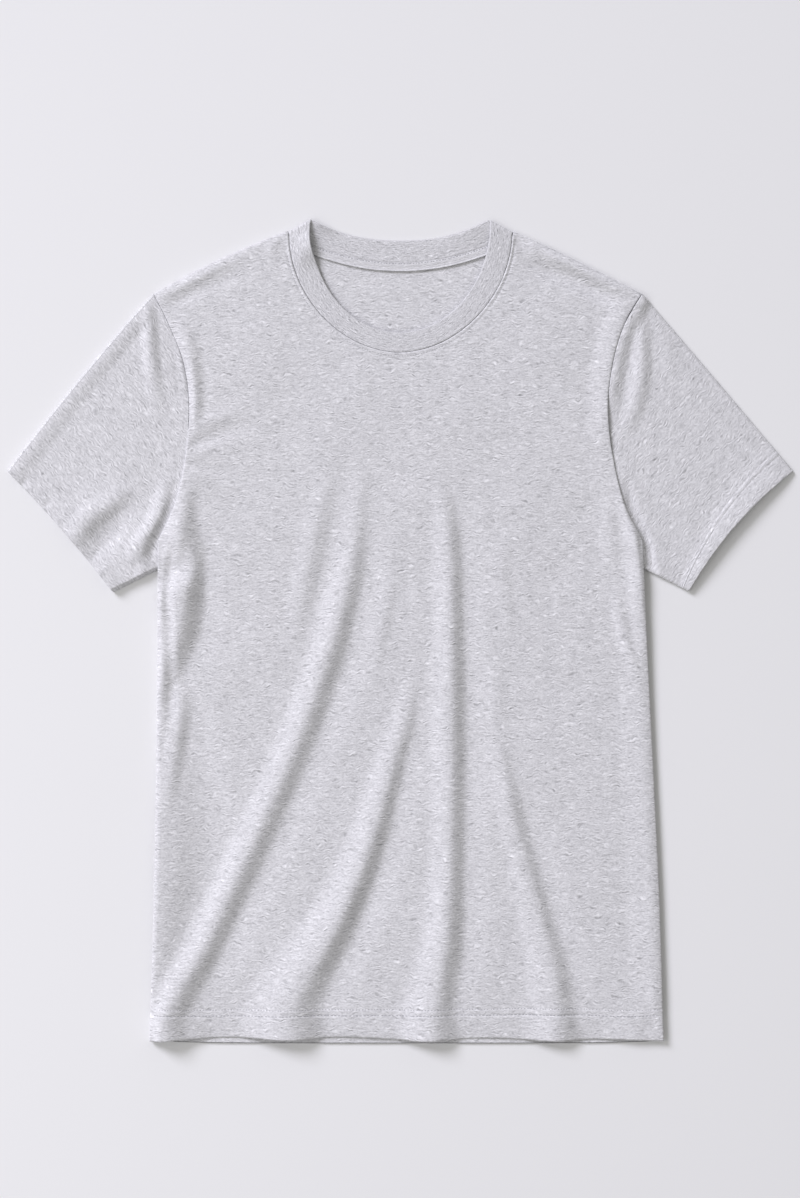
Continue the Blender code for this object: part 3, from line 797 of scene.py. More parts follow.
def body_grid(is_front, fine):
    """The plan of a panel as a grid: rows from hem to neck, columns from its right side to its left."""
    borders = body_borders(is_front)
    right = np.vstack([borders["right_side"][::-1], borders["right_armhole"][::-1][1:]])
    left = np.vstack([borders["left_side"], borders["left_armhole"][1:]])
    top = [borders["right_shoulder"][::-1], borders["neck"][::-1], borders["left_shoulder"][::-1]]
    shoulder, neck = int(32 * fine), int(132 * fine)
    top_line = np.vstack([
        spaced(top[0], runs((0.05, 5), (1.0, shoulder))),
        spaced(top[1], np.linspace(0, 1, neck + 1))[1:-1],
        spaced(top[2], 1 - runs((0.05, 5), (1.0, shoulder))[::-1]),
    ])
    edge = 0.012
    bottom_shares = runs((edge, 5), (0.15, shoulder), (0.85, neck), (1 - edge, shoulder), (1.0, 5))
    bottom = spaced(borders["hem"], bottom_shares)
    side_share = arc_length(borders["right_side"])[-1] / arc_length(right)[-1]
    low, high = 18.0 / arc_length(right)[-1], 34.0 / arc_length(right)[-1]
    up = runs((0.1 * low, 5), (low, int(8 * fine)), (high, int(22 * fine)), (side_share, int(90 * fine)),
              (0.985, int(56 * fine)), (1.0, 5))
    return patch(bottom, top_line, spaced(right, up), spaced(left, up), bottom_shares, up), borders


# ---- sleeves, in plan ----
End = namedtuple("End", "place x y")


def sleeve_plan(side, u, v):
    """Points of a sleeve from above: u runs from armhole to cuff, v from its top edge to the underarm."""
    sign = 1 if side == "left" else -1
    levels = np.array(END_LEVELS, float)
    seam_x = along(ARMHOLE, levels, side, "y") * sign + SEAM_CUT
    end_x = np.array([TUCKED_X.get(level, x) for level, x in zip(END_LEVELS, seam_x)])
    places = np.linspace(0, 1, len(levels))
    fine = np.linspace(0, 1, 160)
    rows = [End(p, x, y) for p, x, y in zip(places, end_x, levels)]
    curve = np.stack([along(rows, fine, "x"), along(rows, fine, "y")], -1)
    shoulder = curve[0]
    u, v = np.broadcast_arrays(np.asarray(u, float), np.asarray(v, float))
    end = np.stack([np.interp(v, fine, curve[:, k]) for k in (0, 1)], -1)
    top = bowed(shoulder, CUFF_TIP, u, SHOULDER_BULGE[side])
    under = bowed(UNDERARM, CUFF_LOW, u, 0.0)
    cuff = bowed(CUFF_TIP, CUFF_LOW, v, -CUFF_BOW[side])
    a, b = u[..., None], v[..., None]
    corners = [np.asarray(c, float) for c in (shoulder, UNDERARM, CUFF_TIP, CUFF_LOW)]
    point = (1 - b) * top + b * under + (1 - a) * end + a * cuff
    point -= (1 - a) * ((1 - b) * corners[0] + b * corners[1])
    point -= a * ((1 - b) * corners[2] + b * corners[3])
    return point * (sign, 1)


def sleeve_outline(side):
    """The sleeve's outline from above."""
    steps = np.linspace(0, 1, 25)[:-1]
    return np.vstack([
        sleeve_plan(side, steps, 0.0),
        sleeve_plan(side, 1.0, steps),
        sleeve_plan(side, 1 - steps, 1.0),
        sleeve_plan(side, 0.0, 1 - steps),
    ])


def tucked(y):
    """0 on the open part of the armhole, 1 where a sleeve's end lies between front and back."""
    return 1 - ease(TUCK_FULL, TUCK_TOP, y)


# ---- meshes ----
def add_mesh(name, points, faces, uv, finish):
    """A smooth mesh from points in shirt millimetres and a cloth coordinate for each point."""
    mesh = bpy.data.meshes.new(name)
    points = np.asarray(points, float) * MM
    faces = np.asarray(faces, int)
    mesh.from_pydata(points.tolist(), [], faces.tolist())
    layer = mesh.uv_layers.new(name="cloth")
    loops = np.empty(len(mesh.loops), int)
    mesh.loops.foreach_get("vertex_index", loops)
    layer.data.foreach_set("uv", (np.asarray(uv, float) * MM)[loops].ravel())
    mesh.shade_smooth()
    mesh.materials.append(finish)
    made = bpy.data.objects.new(name, mesh)
    bpy.context.scene.collection.objects.link(made)
    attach(made, "root")
    return made


def grid_faces(rows, columns, first=0, turned=False):
    """Quads of a grid of points."""
    index = np.arange(rows * columns).reshape(rows, columns) + first
    quads = np.stack([index[:-1, :-1], index[:-1, 1:], index[1:, 1:], index[1:, :-1]], -1).reshape(-1, 4)
    return quads[:, ::-1] if turned else quads


def border_loop(rows, columns):
    """Indices round a grid, anticlockwise."""
    index = np.arange(rows * columns).reshape(rows, columns)
    return np.concatenate([index[0], index[1:, -1], index[-1, -2::-1], index[-2:0:-1, 0]])


def cloth_shell(name, plan, low, high, uv, finish, bulge=0.35, foot=0.35):
    """A closed sheet over a plan grid, from its lower to its upper heights, with a rounded rim.

    The rim bulges out by one measure all round and by another, foot, along the first row."""
    rows, columns = plan.shape[:2]
    count = rows * columns
    loop = border_loop(rows, columns)
    flat = plan.reshape(-1, 2)
    ahead, behind = np.roll(flat[loop], -1, 0), np.roll(flat[loop], 1, 0)
    run = ahead - behind
    out = np.stack([run[:, 1], -run[:, 0]], -1)
    out /= np.maximum(np.linalg.norm(out, axis=1, keepdims=True), 1e-9)
    low, high = low.ravel(), high.ravel()
    bulge = np.where(loop < columns, foot, bulge)[:, None]
    body = flat.copy()
    body[loop] -= out * bulge
    rings = []
    for share, push in ((0.16, 0.75), (0.5, 1.0), (0.84, 0.75)):
        height = low[loop] + (high[loop] - low[loop]) * share
        rings.append(np.column_stack([body[loop] + out * bulge * push, height]))
    points = np.vstack([np.column_stack([body, low]), np.column_stack([body, high]), *rings])
    strips = [loop, *(2 * count + k * len(loop) + np.arange(len(loop)) for k in range(3)), loop + count]
    sides = []
    for below, above in zip(strips[:-1], strips[1:]):
        sides.append(np.stack([below, np.roll(below, -1), np.roll(above, -1), above], -1))
    faces = np.vstack([grid_faces(rows, columns, 0, True), grid_faces(rows, columns, count), *sides])
    uv = uv.reshape(-1, 2)
    return add_mesh(name, points, faces, np.vstack([uv, uv, uv[loop], uv[loop], uv[loop]]), finish)


# ---- materials ----
def node(tree, kind, **settings):
    """A shader node with its properties, set out to the right of those made before it."""
    made = tree.nodes.new(kind)
    made.location = (220.0 * len(tree.nodes), 0.0)
    for key, value in settings.items():
        setattr(made, key, value)
    return made


Knit = namedtuple("Knit", "colour stroke bend contrast relief mottling course")


def knit_material(name, knit):
    """Heather knit: winding light and dark fibres along the courses over a soft mottle."""
    made = bpy.data.materials.new(name)
    made.use_nodes = True
    tree = made.node_tree
    shader = tree.nodes["Principled BSDF"]
    shader.inputs["Roughness"].default_value = 0.92
    shader.inputs["Specular IOR Level"].default_value = 0.25
    cloth = node(tree, "ShaderNodeUVMap", uv_map="cloth").outputs["UV"]

    def joined(kind, operation, *values):
        """The output of a node that puts sockets, or plain values, together."""
        added = node(tree, kind, operation=operation)
        for slot, value in zip(added.inputs, values):
            if isinstance(value, bpy.types.NodeSocket):
                tree.links.new(value, slot)
            else:
                slot.default_value = value
        return added.outputs[0]

    def maths(operation, *values):
        return joined("ShaderNodeMath", operation, *values)

    def vectors(operation, *values):
        return joined("ShaderNodeVectorMath", operation, *values)

    def noise(label, source, size, seed, detail=1.0):
        """Noise with grains about size millimetres along and across the courses."""
        scaled = node(tree, "ShaderNodeMapping", vector_type="POINT", label=label)
        scaled.inputs["Scale"].default_value = (1 / (size[0] * MM), 1 / (size[1] * MM), 1.0)
        scaled.inputs["Location"].default_value = (seed, 0.37 * seed, 0.0)
        tree.links.new(source, scaled.inputs["Vector"])
        grain = node(tree, "ShaderNodeTexNoise", noise_dimensions="2D")
        grain.inputs["Scale"].default_value = 1.0
        grain.inputs["Detail"].default_value = detail
        grain.inputs["Roughness"].default_value = 0.5
        tree.links.new(scaled.outputs["Vector"], grain.inputs["Vector"])
        return grain.outputs

    def centred(*what):
        """Noise about zero."""
        return maths("SUBTRACT", noise(*what)["Fac"], 0.5)

    # fibres that wind
    sway = noise("sway of the fibres", cloth, (9.0, 7.0), 11.3)["Color"]
    sway = vectors("SUBTRACT", sway, (0.5, 0.5, 0.5))
    sway = vectors("MULTIPLY", sway, (knit.bend[0] * MM, knit.bend[1] * MM, 0.0))
    bent = vectors("ADD", cloth, sway)
    strokes = centred("strokes", bent, knit.stroke, 3.1)
    # the courses, as uneven waves across the fibres
    apart = node(tree, "ShaderNodeSeparateXYZ")
    tree.links.new(bent, apart.inputs["Vector"])
    phase = maths("MULTIPLY", centred("phase of the courses", bent, (14.0, 8.0), 9.1), 14.0)
    turns = maths("ADD", maths("MULTIPLY", apart.outputs["Y"], 2 * pi / (knit.course * MM)), phase)
    loops = centred("loops along the courses", bent, (knit.stroke[0], 5.0), 2.3)
    rows = maths("MULTIPLY", maths("MULTIPLY", loops, maths("SINE", turns)), 1.6)
    strokes = maths("ADD", strokes, rows)
    # patches of strong and weak strokes
    strong = node(tree, "ShaderNodeMapRange")
    for limit, value in (("From Min", 0.35), ("From Max", 0.65), ("To Min", 0.6), ("To Max", 1.35)):
        strong.inputs[limit].default_value = value
    tree.links.new(noise("patches of strong strokes", cloth, (9.0, 6.0), 7.7)["Fac"], strong.inputs["Value"])
    strokes = maths("MULTIPLY", strokes, strong.outputs["Result"])
    # colour and relief
    fine = centred("fine grain", bent, (knit.stroke[0] * 0.28, knit.stroke[1] * 0.8), 5.9)
    mottle = centred("mottle", cloth, (18.0, 11.0), 1.7, 2.0)
    tone = maths("MULTIPLY", strokes, knit.contrast)
    tone = maths("ADD", tone, maths("MULTIPLY", fine, knit.contrast * 0.9))
    tone = maths("ADD", tone, maths("MULTIPLY", mottle, knit.mottling))
    tone = maths("ADD", tone, 1.0)
    tint = node(tree, "ShaderNodeVectorMath", operation="SCALE")
    tint.inputs[0].default_value = knit.colour
    tree.links.new(tone, tint.inputs["Scale"])
    tree.links.new(tint.outputs[0], shader.inputs["Base Color"])
    bump = node(tree, "ShaderNodeBump")
    bump.inputs["Strength"].default_value = 1.0
    bump.inputs["Distance"].default_value = knit.relief * MM
    tree.links.new(maths("ADD", strokes, maths("MULTIPLY", fine, 0.8)), bump.inputs["Height"])
    tree.links.new(bump.outputs["Normal"], shader.inputs["Normal"])
    return made


JERSEY_COLOUR = (0.637, 0.634, 0.649)
# The stitches' thread is a much darker grey than the cloth. This is partly the thread's own tone and partly
# painted shade, standing in for the shadowed needle holes and groove along the stitch rows.
THREAD_COLOUR_AND_PAINTED_SHADE = (0.40, 0.40, 0.42)
RIB_COLOUR = (0.604, 0.601, 0.616)
KNITS = {
    "heather_jersey": Knit(JERSEY_COLOUR, (8.0, 1.6), (2.0, 5.0), 0.48, 0.21, 0.16, 2.85),
    "heather_rib": Knit(RIB_COLOUR, (5.0, 1.5), (1.0, 2.5), 0.56, 0.12, 0.16, 2.6),
    "heather_tape": Knit(JERSEY_COLOUR, (6.0, 1.5), (1.0, 2.0), 0.36, 0.18, 0.10, 2.4),
    # the seam thread's dark colour is partly painted shade of the needle holes along its rows
    "seam_thread_painted_shade": Knit(THREAD_COLOUR_AND_PAINTED_SHADE, (1.2, 1.2), (0.2, 0.2), 0.3, 0.0, 0.1, 2.0),
}
Lamp = namedtuple("Lamp", "name azimuth elevation away size power colour")
LAMPS = [
    Lamp("key", 135.0, 33.0, 16.0, 6.8, 2306.0, (0.898, 0.888, 1.0)),
    Lamp("window", 196.0, 50.0, 2.2, 1.6, 10.9, (0.97, 0.96, 1.0)),
]


# ---- front ----
def front_underside(x, y, borders):
    """Height of the front's inner face."""
    drop = np.zeros(x.shape)
    roll = np.zeros(x.shape)
    for name, line in borders.items():
        fall = FALLS.get(name) or FALLS[name.split("_")[-1]]
        near = offsets(x, y, line)[0]
        drop = np.maximum(drop, fall.drop * np.clip(1 - near / fall.width, 0.0, 1.0) ** 2)
        if name == "left_side":
            roll = SIDE_ROLL * hump(near - 10.0, 24.0)
    height = INNER_HEIGHT - drop + roll * ease(HEM_TOP - 8, HEM_TOP + 20, y)
    beside = np.maximum(*[depth_inside(x, y, sleeve_outline(side)) for side in ("right", "left")])
    lift = tucked(y) * ease(-30.0, -6.0, beside)
    over_sleeve = TUCK_LIFT + 2 * JERSEY + SLEEVE_GAP + 2 * GAP
    height = height + np.maximum(0.0, over_sleeve - height) * lift
    height = np.maximum(height, (HEM_WALL + GAP) * (1 - ease(HEM_TOP + 12, HEM_TOP + 38, y)))
    height = height + fold_lift(FOLDS, x, y) * (1 - 0.9 * lift) + crease_lift(EDGE_CREASES, x, y)
    return np.maximum(height, JERSEY + GAP)


def hem_wall(y):
    """The wall by height: doubled below the hem's top."""
    return JERSEY + (HEM_WALL - JERSEY) * (1 - ease(HEM_TOP, HEM_TOP + HEM_STEP, y))


def hem_seam(y):
    """The relief of the coverstitch: a low welt between two needle rows that are pulled in."""
    middle, half = sum(HEM_ROWS) / 2, (HEM_ROWS[0] - HEM_ROWS[1]) / 2
    relief = 0.42 * (1 - ease(half - 1.4, half + 0.9, np.abs(y - middle)))
    for row in HEM_ROWS:
        relief = relief - 0.16 * hump(y - row, 1.3)
    return relief


Welt = namedtuple("Welt", "place width rise")
NECK_WELTS = [          # from the neck seam outwards: turned-in cloth, topstitch, loose cloth
    Welt(1.4, 1.7, 0.75),
    Welt(3.6, 1.3, -0.35),
    Welt(5.6, 1.6, 0.12),
]


def front_surface(x, y, borders):
    """Height of the front's outer face, with its small forms."""
    height = front_underside(x, y, borders) + hem_wall(y)
    edge = np.minimum(*[offsets(x, y, borders[s + "_side"])[0] for s in ("right", "left")])
    soft = ease(0.0, 40.0, edge)
    height = height + 0.35 * soft * ripples(x, y, 3, 110.0) + 0.12 * soft * ripples(x, y, 5, 42.0)
    height = height + hem_seam(y + 0.6 * ripples(x, x * 0, 9, 90.0))
    height = height - HEM_THIN * np.clip(1 - offsets(x, y, borders["hem"])[0] / 1.8, 0.0, 1.0) ** 2
    neck = offsets(x, y, borders["neck"])[0]
    for place, width, rise in NECK_WELTS:
        height = height + rise * hump(neck - place, width)
    for side in ("right", "left"):
        seam, _, place = offsets(x, y, borders[side + "_armhole"])
        run = place * arc_length(borders[side + "_armhole"])[-1]
        pucker = ripples(run, run * 0, 11, 14.0)
        height = height + 0.12 * pucker * np.exp(-seam / 6.0) - 0.3 * hump(seam, 1.6)
    return height


def front_creases(x, y, borders):
    """Small creases, faded out at the panel's edges."""
    edge = np.min([offsets(x, y, line)[0] for line in borders.values()], axis=0)
    return crease_lift(BODY_CREASES, x, y) * ease(0.0, 7.0, edge)


def make_front(finish):
    plan, borders = body_grid(is_front=True, fine=1)
    x, y = plan[..., 0], plan[..., 1]
    small = front_creases(x, y, borders)
    high = front_surface(x, y, borders) + small
    low = np.minimum(front_underside(x, y, borders) + np.minimum(small, 0.0), high - 0.8)
    for edge in (low[:, 0], low[:, -1], low[-1]):
        edge[:] = np.minimum(edge, RIM_LOW + np.maximum(0.0, edge - 4.2))
    piece = cloth_shell("front_cloth", plan, low, high, plan, finish, foot=0.6)
    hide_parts("front_panel")
    return piece


# ---- back ----
def make_back(finish):
    plan, borders = body_grid(is_front=False, fine=0.7)
    x, y = plan[..., 0], plan[..., 1]
    edge = np.min([offsets(x, y, line)[0] for line in borders.values()], axis=0)
    low = crease_lift(BACK_CREASES, x, y) * ease(4.0, 30.0, edge)
    high = low + hem_wall(y)
    low = low - np.minimum(hem_seam(y), 0.0) * 0.8
    uv = plan + (CLOTH_AT["back"], 0.0)
    piece = cloth_shell("back_cloth", plan, low, high, uv, finish, foot=0.8)
    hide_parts("back_panel")
    return piece


# ---- sleeves ----
def make_sleeve(side, body, finish):
    u = runs((0.03, 5), (0.86, 80), (0.94, 26), (1.0, 8))
    run = np.linalg.norm(sleeve_plan(side, u, 1.0) - sleeve_plan(side, u, 0.0), axis=-1)
    margins = (SLEEVE_EDGE / run)[:, None], (UNDERARM_ROLL[side] / run)[:, None]
    inner = np.linspace(0, 1, 96)[None, :]
    v = margins[0] + (1 - margins[0] - margins[1]) * inner
    u_grid = np.broadcast_to(u[:, None], v.shape)
    plan = sleeve_plan(side, u_grid, v)
    x, y = plan[..., 0], plan[..., 1]
    wall = JERSEY + (HEM_WALL - JERSEY) * 0.5 * ease(CUFF_HEM - 0.08, CUFF_HEM + 0.02, u_grid)
    outside = -depth_inside(x, y, body)
    from_top, from_under = v * run[:, None], (1 - v) * run[:, None]
    from_cuff = (1 - u_grid) * SLEEVE_RUN
    held = tucked(y)
    low = TUCK_LIFT * held * (1 - ease(3.0, 30.0, outside))
    free = held * ease(1.0, 34.0, outside) + (1 - held) * ease(-6.0, 22.0, outside)
    high = low + 2 * wall + SLEEVE_GAP + SLEEVE_CROWN[side] * 4 * v * (1 - v) * free
    if TOP_ROLL[side] > 0:
        high = high + TOP_ROLL[side] * hump(from_top - 5.5, 17.0) * ease(2.0, 16.0, outside)
    else:
        high = high + TOP_ROLL[side] * np.clip(1 - from_top / 22.0, 0.0, 1.0) ** 2
    high = high + UNDERARM_LIFT[side] * (1 - ease(0.0, 78.0, from_under)) * ease(-2.0, 16.0, outside)
    high = high + CUFF_LIFT[side] * (1 - ease(0.0, 34.0, from_cuff)) * (4 * v * (1 - v)) ** 0.6
    high = high + SEAM_RISE[side] * (1 - held) * (1 - ease(3.0, 16.0, outside))
    high = np.maximum(high, low + 2 * wall + 0.1)
    reach = 3.0 if side == "left" else 3.0 + 6.0 * held
    clear = ease(0.0, reach, outside) * ease(0.0, 0.05, v) * ease(0.0, 0.03, 1 - v)
    high = high + crease_lift(SLEEVE_CREASES[side], x, y) * clear
    for row in CUFF_ROWS:
        high = high - CUFF_STITCH[side] * hump(from_cuff - row, 1.5)
    high = high + CUFF_STITCH[side] * 0.8 * hump(from_cuff - CUFF_WELT, 2.4)
    ends = sleeve_plan(side, u, 0.0), sleeve_plan(side, u, 1.0)
    turns = 9
    rings = []
    for inset in (0.0, wall):
        up = np.dstack([plan, high - inset])
        down = np.dstack([plan, low + inset])
        thinner = np.zeros(len(u)) if np.isscalar(inset) else inset[:, 0]

        def turn(column, end, radius, lip=0.0):
            middle = (up[:, column] + down[:, column]) / 2
            half = (up[:, column, 2] - down[:, column, 2]) / 2
            out = end - middle[:, :2]
            out /= np.linalg.norm(out, axis=1, keepdims=True)
            arc = []
            for k in range(1, turns + 1):
                angle = pi / 2 - pi * k / (turns + 1)
                reach, rise = radius * cos(angle), half * sin(angle)
                if lip and angle > 0.1:
                    reach = reach - lip * cos(angle)
                elif lip:
                    reach, rise = reach + lip * cos(angle), half * (0.5 * sin(angle) - 0.5)
                shift = np.column_stack([out * reach[:, None], rise])
                arc.append(middle + shift)
            return np.stack(arc, 1)

        under = turn(-1, ends[1], UNDERARM_ROLL[side] - thinner, UNDERARM_LIP[side])
        fold = turn(0, ends[0], SLEEVE_EDGE - thinner)
        rings.append(np.concatenate([up, under, down[:, ::-1], fold[:, ::-1]], 1))
    outer, inside = rings
    rows, size = outer.shape[:2]
    along_cuff = np.array(CUFF_TIP) - np.array(CUFF_LOW)
    along_cuff /= np.hypot(*along_cuff)
    is_left = side == "left"
    flat = outer[..., :2] * (1 if is_left else -1, 1)
    turned = np.arange(size) >= size // 2
    uv = np.stack([flat @ along_cuff, flat @ (-along_cuff[1], along_cuff[0])], -1)
    uv[:, turned, 0] = -uv[:, turned, 0] + 700.0
    uv += (CLOTH_AT[side], 0.0)
    uv = uv.reshape(-1, 2)

    def tube(first, flip):
        index = np.arange(rows * size).reshape(rows, size) + first
        turned = np.roll(index, -1, 1)
        quads = np.stack([index[:-1], turned[:-1], turned[1:], index[1:]], -1).reshape(-1, 4)
        return quads[:, ::-1] if flip else quads

    def mouth(row, flip):
        a = np.arange(size) + row * size
        b = a + rows * size
        quads = np.stack([a, np.roll(a, -1), np.roll(b, -1), b], -1)
        return quads[:, ::-1] if flip else quads

    faces = np.vstack([
        tube(0, is_left), tube(rows * size, not is_left), mouth(0, not is_left), mouth(rows - 1, is_left),
    ])
    points = np.vstack([outer.reshape(-1, 3), inside.reshape(-1, 3)])
    piece = add_mesh("cloth_sleeve_" + side, points, faces, np.vstack([uv, uv]), finish)
    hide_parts("sleeve_" + side)
    return piece


# ---- neck band ----
def rib_stations():
    """The band's two edges and outward direction at stations round its ring, in order."""
    half_wall = RIB_WALL / 2
    up = np.array([0.0, 0.0, 1.0])

    def bend(side, count):
        sign = 1 if side == "left" else -1
        edge = np.array([EDGE_HALF * sign, EDGE_TOP, 0.0])
        back_edge = np.array([BACK_EDGE_HALF * sign, BACK_EDGE_TOP, 0.0])
        seam = np.array([SEAM_HALF * sign, SEAM_TOP, 0.0])
        tip = np.array([-TIP_LEAN * sign, 1.0, 0.0])
        foot = np.array([(edge - seam)[1] * sign, -(edge - seam)[0] * sign, 0.0])
        rows = []
        for k in range(1, count):
            angle = pi * k / count
            ends = []
            for base, radius, across in ((edge, BEND_EDGE[side], tip), (seam, BEND_SEAM, foot)):
                across = across * np.sign(across[1]) / np.linalg.norm(across)
                out = across * sin(angle) + up * cos(angle)
                ends.append(base + up * radius + out * (radius - half_wall))
            ends[0][:2] += (back_edge - edge)[:2] * (1 - sin(angle)) * (angle > pi / 2)
            ends[0][2] += BACK_LIFT[side].height * (1 - cos(angle)) / 2
            rows.append((*ends, out))
        return rows

    shares = np.linspace(0, 1, 241)
    settle = ease(0.015, 0.17, np.minimum(shares, 1 - shares)) ** 0.8
    by_side = np.where(shares < 0.5, BEND_EDGE["left"], BEND_EDGE["right"])
    edge_z = (2 * by_side - half_wall) * (1 - settle) + RIB_FRONT_MID * settle
    by_side = np.where(shares < 0.5, TIP_RISE["left"], TIP_RISE["right"])
    edge_z = edge_z + by_side * hump(np.minimum(shares, 1 - shares) - 0.065, 0.065)
    seam_z = (2 * BEND_SEAM - half_wall) * (1 - settle) + RIB_FRONT_MID * settle
    edge_line = arch(shares, EDGE_HALF, EDGE_TOP, EDGE_DEPTH, EDGE_POWER)
    edge_line[:, 0] -= RIGHT_EDGE_SWELL * hump(edge_line[:, 1] - 370.0, 26.0) * (edge_line[:, 0] < 0)
    seam_line = arch(shares, SEAM_HALF, SEAM_TOP, SEAM_DEPTH, SEAM_POWER)
    rows = [(np.append(e, a), np.append(s, b), up)
            for e, a, s, b in zip(edge_line, edge_z, seam_line, seam_z)]
    rows += bend("right", 16)
    shares = np.linspace(1, 0, 131)
    edge_line = back_neck(shares, BACK_EDGE_HALF, BACK_EDGE_TOP, BACK_EDGE_LOW, power=BACK_EDGE_POWER)
    seam_line = back_neck(shares, SEAM_HALF, SEAM_TOP, BACK_SEAM_LOW)
    lift = np.zeros(len(shares))
    for side, tip_x in (("right", -BACK_EDGE_HALF), ("left", BACK_EDGE_HALF)):
        lift = lift + BACK_LIFT[side].height * hump(edge_line[:, 0] - tip_x, BACK_LIFT[side].reach)
    rows += [(np.append(e, half_wall + a), np.append(s, half_wall), -up)
             for e, a, s in zip(edge_line, lift, seam_line)]
    rows += bend("left", 16)[::-1]
    return [np.roll(np.array(found), 12, axis=0) for found in zip(*rows)]


def make_rib(finish):
    """The neck band: rib folded double, with a rounded free edge and a welt beside its seam."""
    edge, seam, out = rib_stations()
    across = edge - seam
    width = np.linalg.norm(across, axis=1, keepdims=True)
    across /= width
    half_wall = RIB_WALL / 2
    shares = np.concatenate([[0.0, 0.02, 0.05], np.linspace(0.09, 0.97, 16)])
    relief = half_wall * (0.22 * np.sin(pi * shares) + 0.30 * hump((shares - 0.085) * 22, 1.6))
    upward, downward = np.clip(out[:, 2:], 0.0, 1.0), np.clip(-out[:, 2:], 0.0, 1.0)
    section, cloth = [], []
    for share, height in zip(shares, relief):
        section.append(seam + across * (width * share) + out * (half_wall + height * upward))
        cloth.append(share * RIB_HEIGHT)
    for k in range(1, 6):
        angle = pi / 2 - pi * k / 6
        reach = width * 0.97 + half_wall * cos(angle) * 0.9
        section.append(seam + across * reach + out * half_wall * sin(angle))
        cloth.append(RIB_HEIGHT + k)
    for share, height in list(zip(shares, relief))[::-1]:
        section.append(seam + across * (width * share) - out * (half_wall + height * downward))
        cloth.append(RIB_HEIGHT + 6.0 + (1 - share) * RIB_HEIGHT)
    rings = np.stack(section, 1)
    rows, size = rings.shape[:2]
    run = arc_length((edge + seam) / 2)
    uv = np.broadcast_arrays(run[:, None] + CLOTH_AT["rib"], np.array(cloth)[None, :])
    uv = np.stack(uv, -1).reshape(-1, 2)
    index = np.arange(rows * size).reshape(rows, size)
    ahead, turned = np.roll(index, -1, 0), np.roll(index, -1, 1)
    faces = np.stack([index, turned, np.roll(ahead, -1, 1), ahead], -1).reshape(-1, 4)[:, ::-1]
    piece = add_mesh("rib_band", rings.reshape(-1, 3), faces, uv, finish)
    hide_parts("neck_rib")
    return piece


# ---- tape ----
def make_tape(finish):
    shares = 0.5 + (np.linspace(0, 1, 150) - 0.5) * TAPE_HALF / SEAM_HALF
    gap = 0.08 + 0.5 * np.abs(2 * shares - 1) ** 5
    steps = np.linspace(0, 1, 22)
    plan = np.stack([back_neck(shares, SEAM_HALF, SEAM_TOP, BACK_SEAM_LOW, gap + (TAPE_HEIGHT - gap) * k)
                     for k in steps], 0)
    place = steps[:, None] * TAPE_HEIGHT
    low = np.full(plan.shape[:2], JERSEY + GAP)
    high = low + TAPE_WALL - 0.25 * hump(place, 1.2)
    for row in (0.9, TAPE_HEIGHT - 3.4, TAPE_HEIGHT - 1.8):
        high = high - 0.22 * hump(place - row, 0.7)
    high = high + 0.5 * hump(place - TAPE_HEIGHT, 1.6)
    run = arc_length(plan[0])
    uv = np.stack(np.broadcast_arrays(run[None, :] + CLOTH_AT["tape"], place), -1)
    piece = cloth_shell("tape_strip", plan[::-1], low, high[::-1], uv, finish, bulge=0.2)
    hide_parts("neck_tape")
    return piece


# ---- stitches ----
Row = namedtuple("Row", "line pitch length half height")


def make_thread(name, rows, finish, seed):
    """Stitches as small round-ended beads, unevenly set along lines of points."""
    dice = np.random.default_rng(seed)
    up = np.array([0.0, 0.0, 1.0])
    turn = np.linspace(0, 2 * pi, 6, endpoint=False)
    ends = ((-1.0, 0.35), (-0.7, 1.0), (0.7, 1.0), (1.0, 0.35))
    ring = np.arange(6)
    quads = [np.stack([ring, (ring + 1) % 6, (ring + 1) % 6 + 6, ring + 6], -1) + 6 * k for k in range(3)]
    caps = np.array([[3, 2, 1, 0], [0, 5, 4, 3], [18, 19, 20, 21], [21, 22, 23, 18]])
    bead_faces = np.vstack([*quads, caps])
    points, faces = [], []
    for row in rows:
        run = arc_length(row.line)
        starts = np.arange(row.pitch, run[-1] - row.pitch, row.pitch)
        for start in starts + dice.uniform(-0.18, 0.18, len(starts)) * row.pitch:
            reach = row.length * dice.uniform(0.3, 0.55)
            a, b = (np.array([np.interp(at, run, row.line[:, k]) for k in range(3)])
                    for at in (start - reach, start + reach))
            run_out = b - a
            side = np.cross(run_out, up)
            side /= np.linalg.norm(side)
            rise = np.cross(side, run_out / np.linalg.norm(run_out))
            faces.append(bead_faces + 24 * len(faces))
            for place, share in ends:
                middle = (a + b) / 2 + run_out * place / 2
                around = side * (row.half * share) * np.cos(turn)[:, None] \
                    + rise * (row.height * share) * np.sin(turn)[:, None]
                points.append(middle + around)
    points = np.vstack(points)
    return add_mesh(name, points, np.vstack(faces), points[:, :2], finish)


def front_line(plan_line, borders, above=0.05):
    """A line on the front's outer face."""
    x, y = plan_line[:, 0], plan_line[:, 1]
    high = front_surface(x, y, borders) + front_creases(x, y, borders)
    return np.column_stack([x, y, high + above])


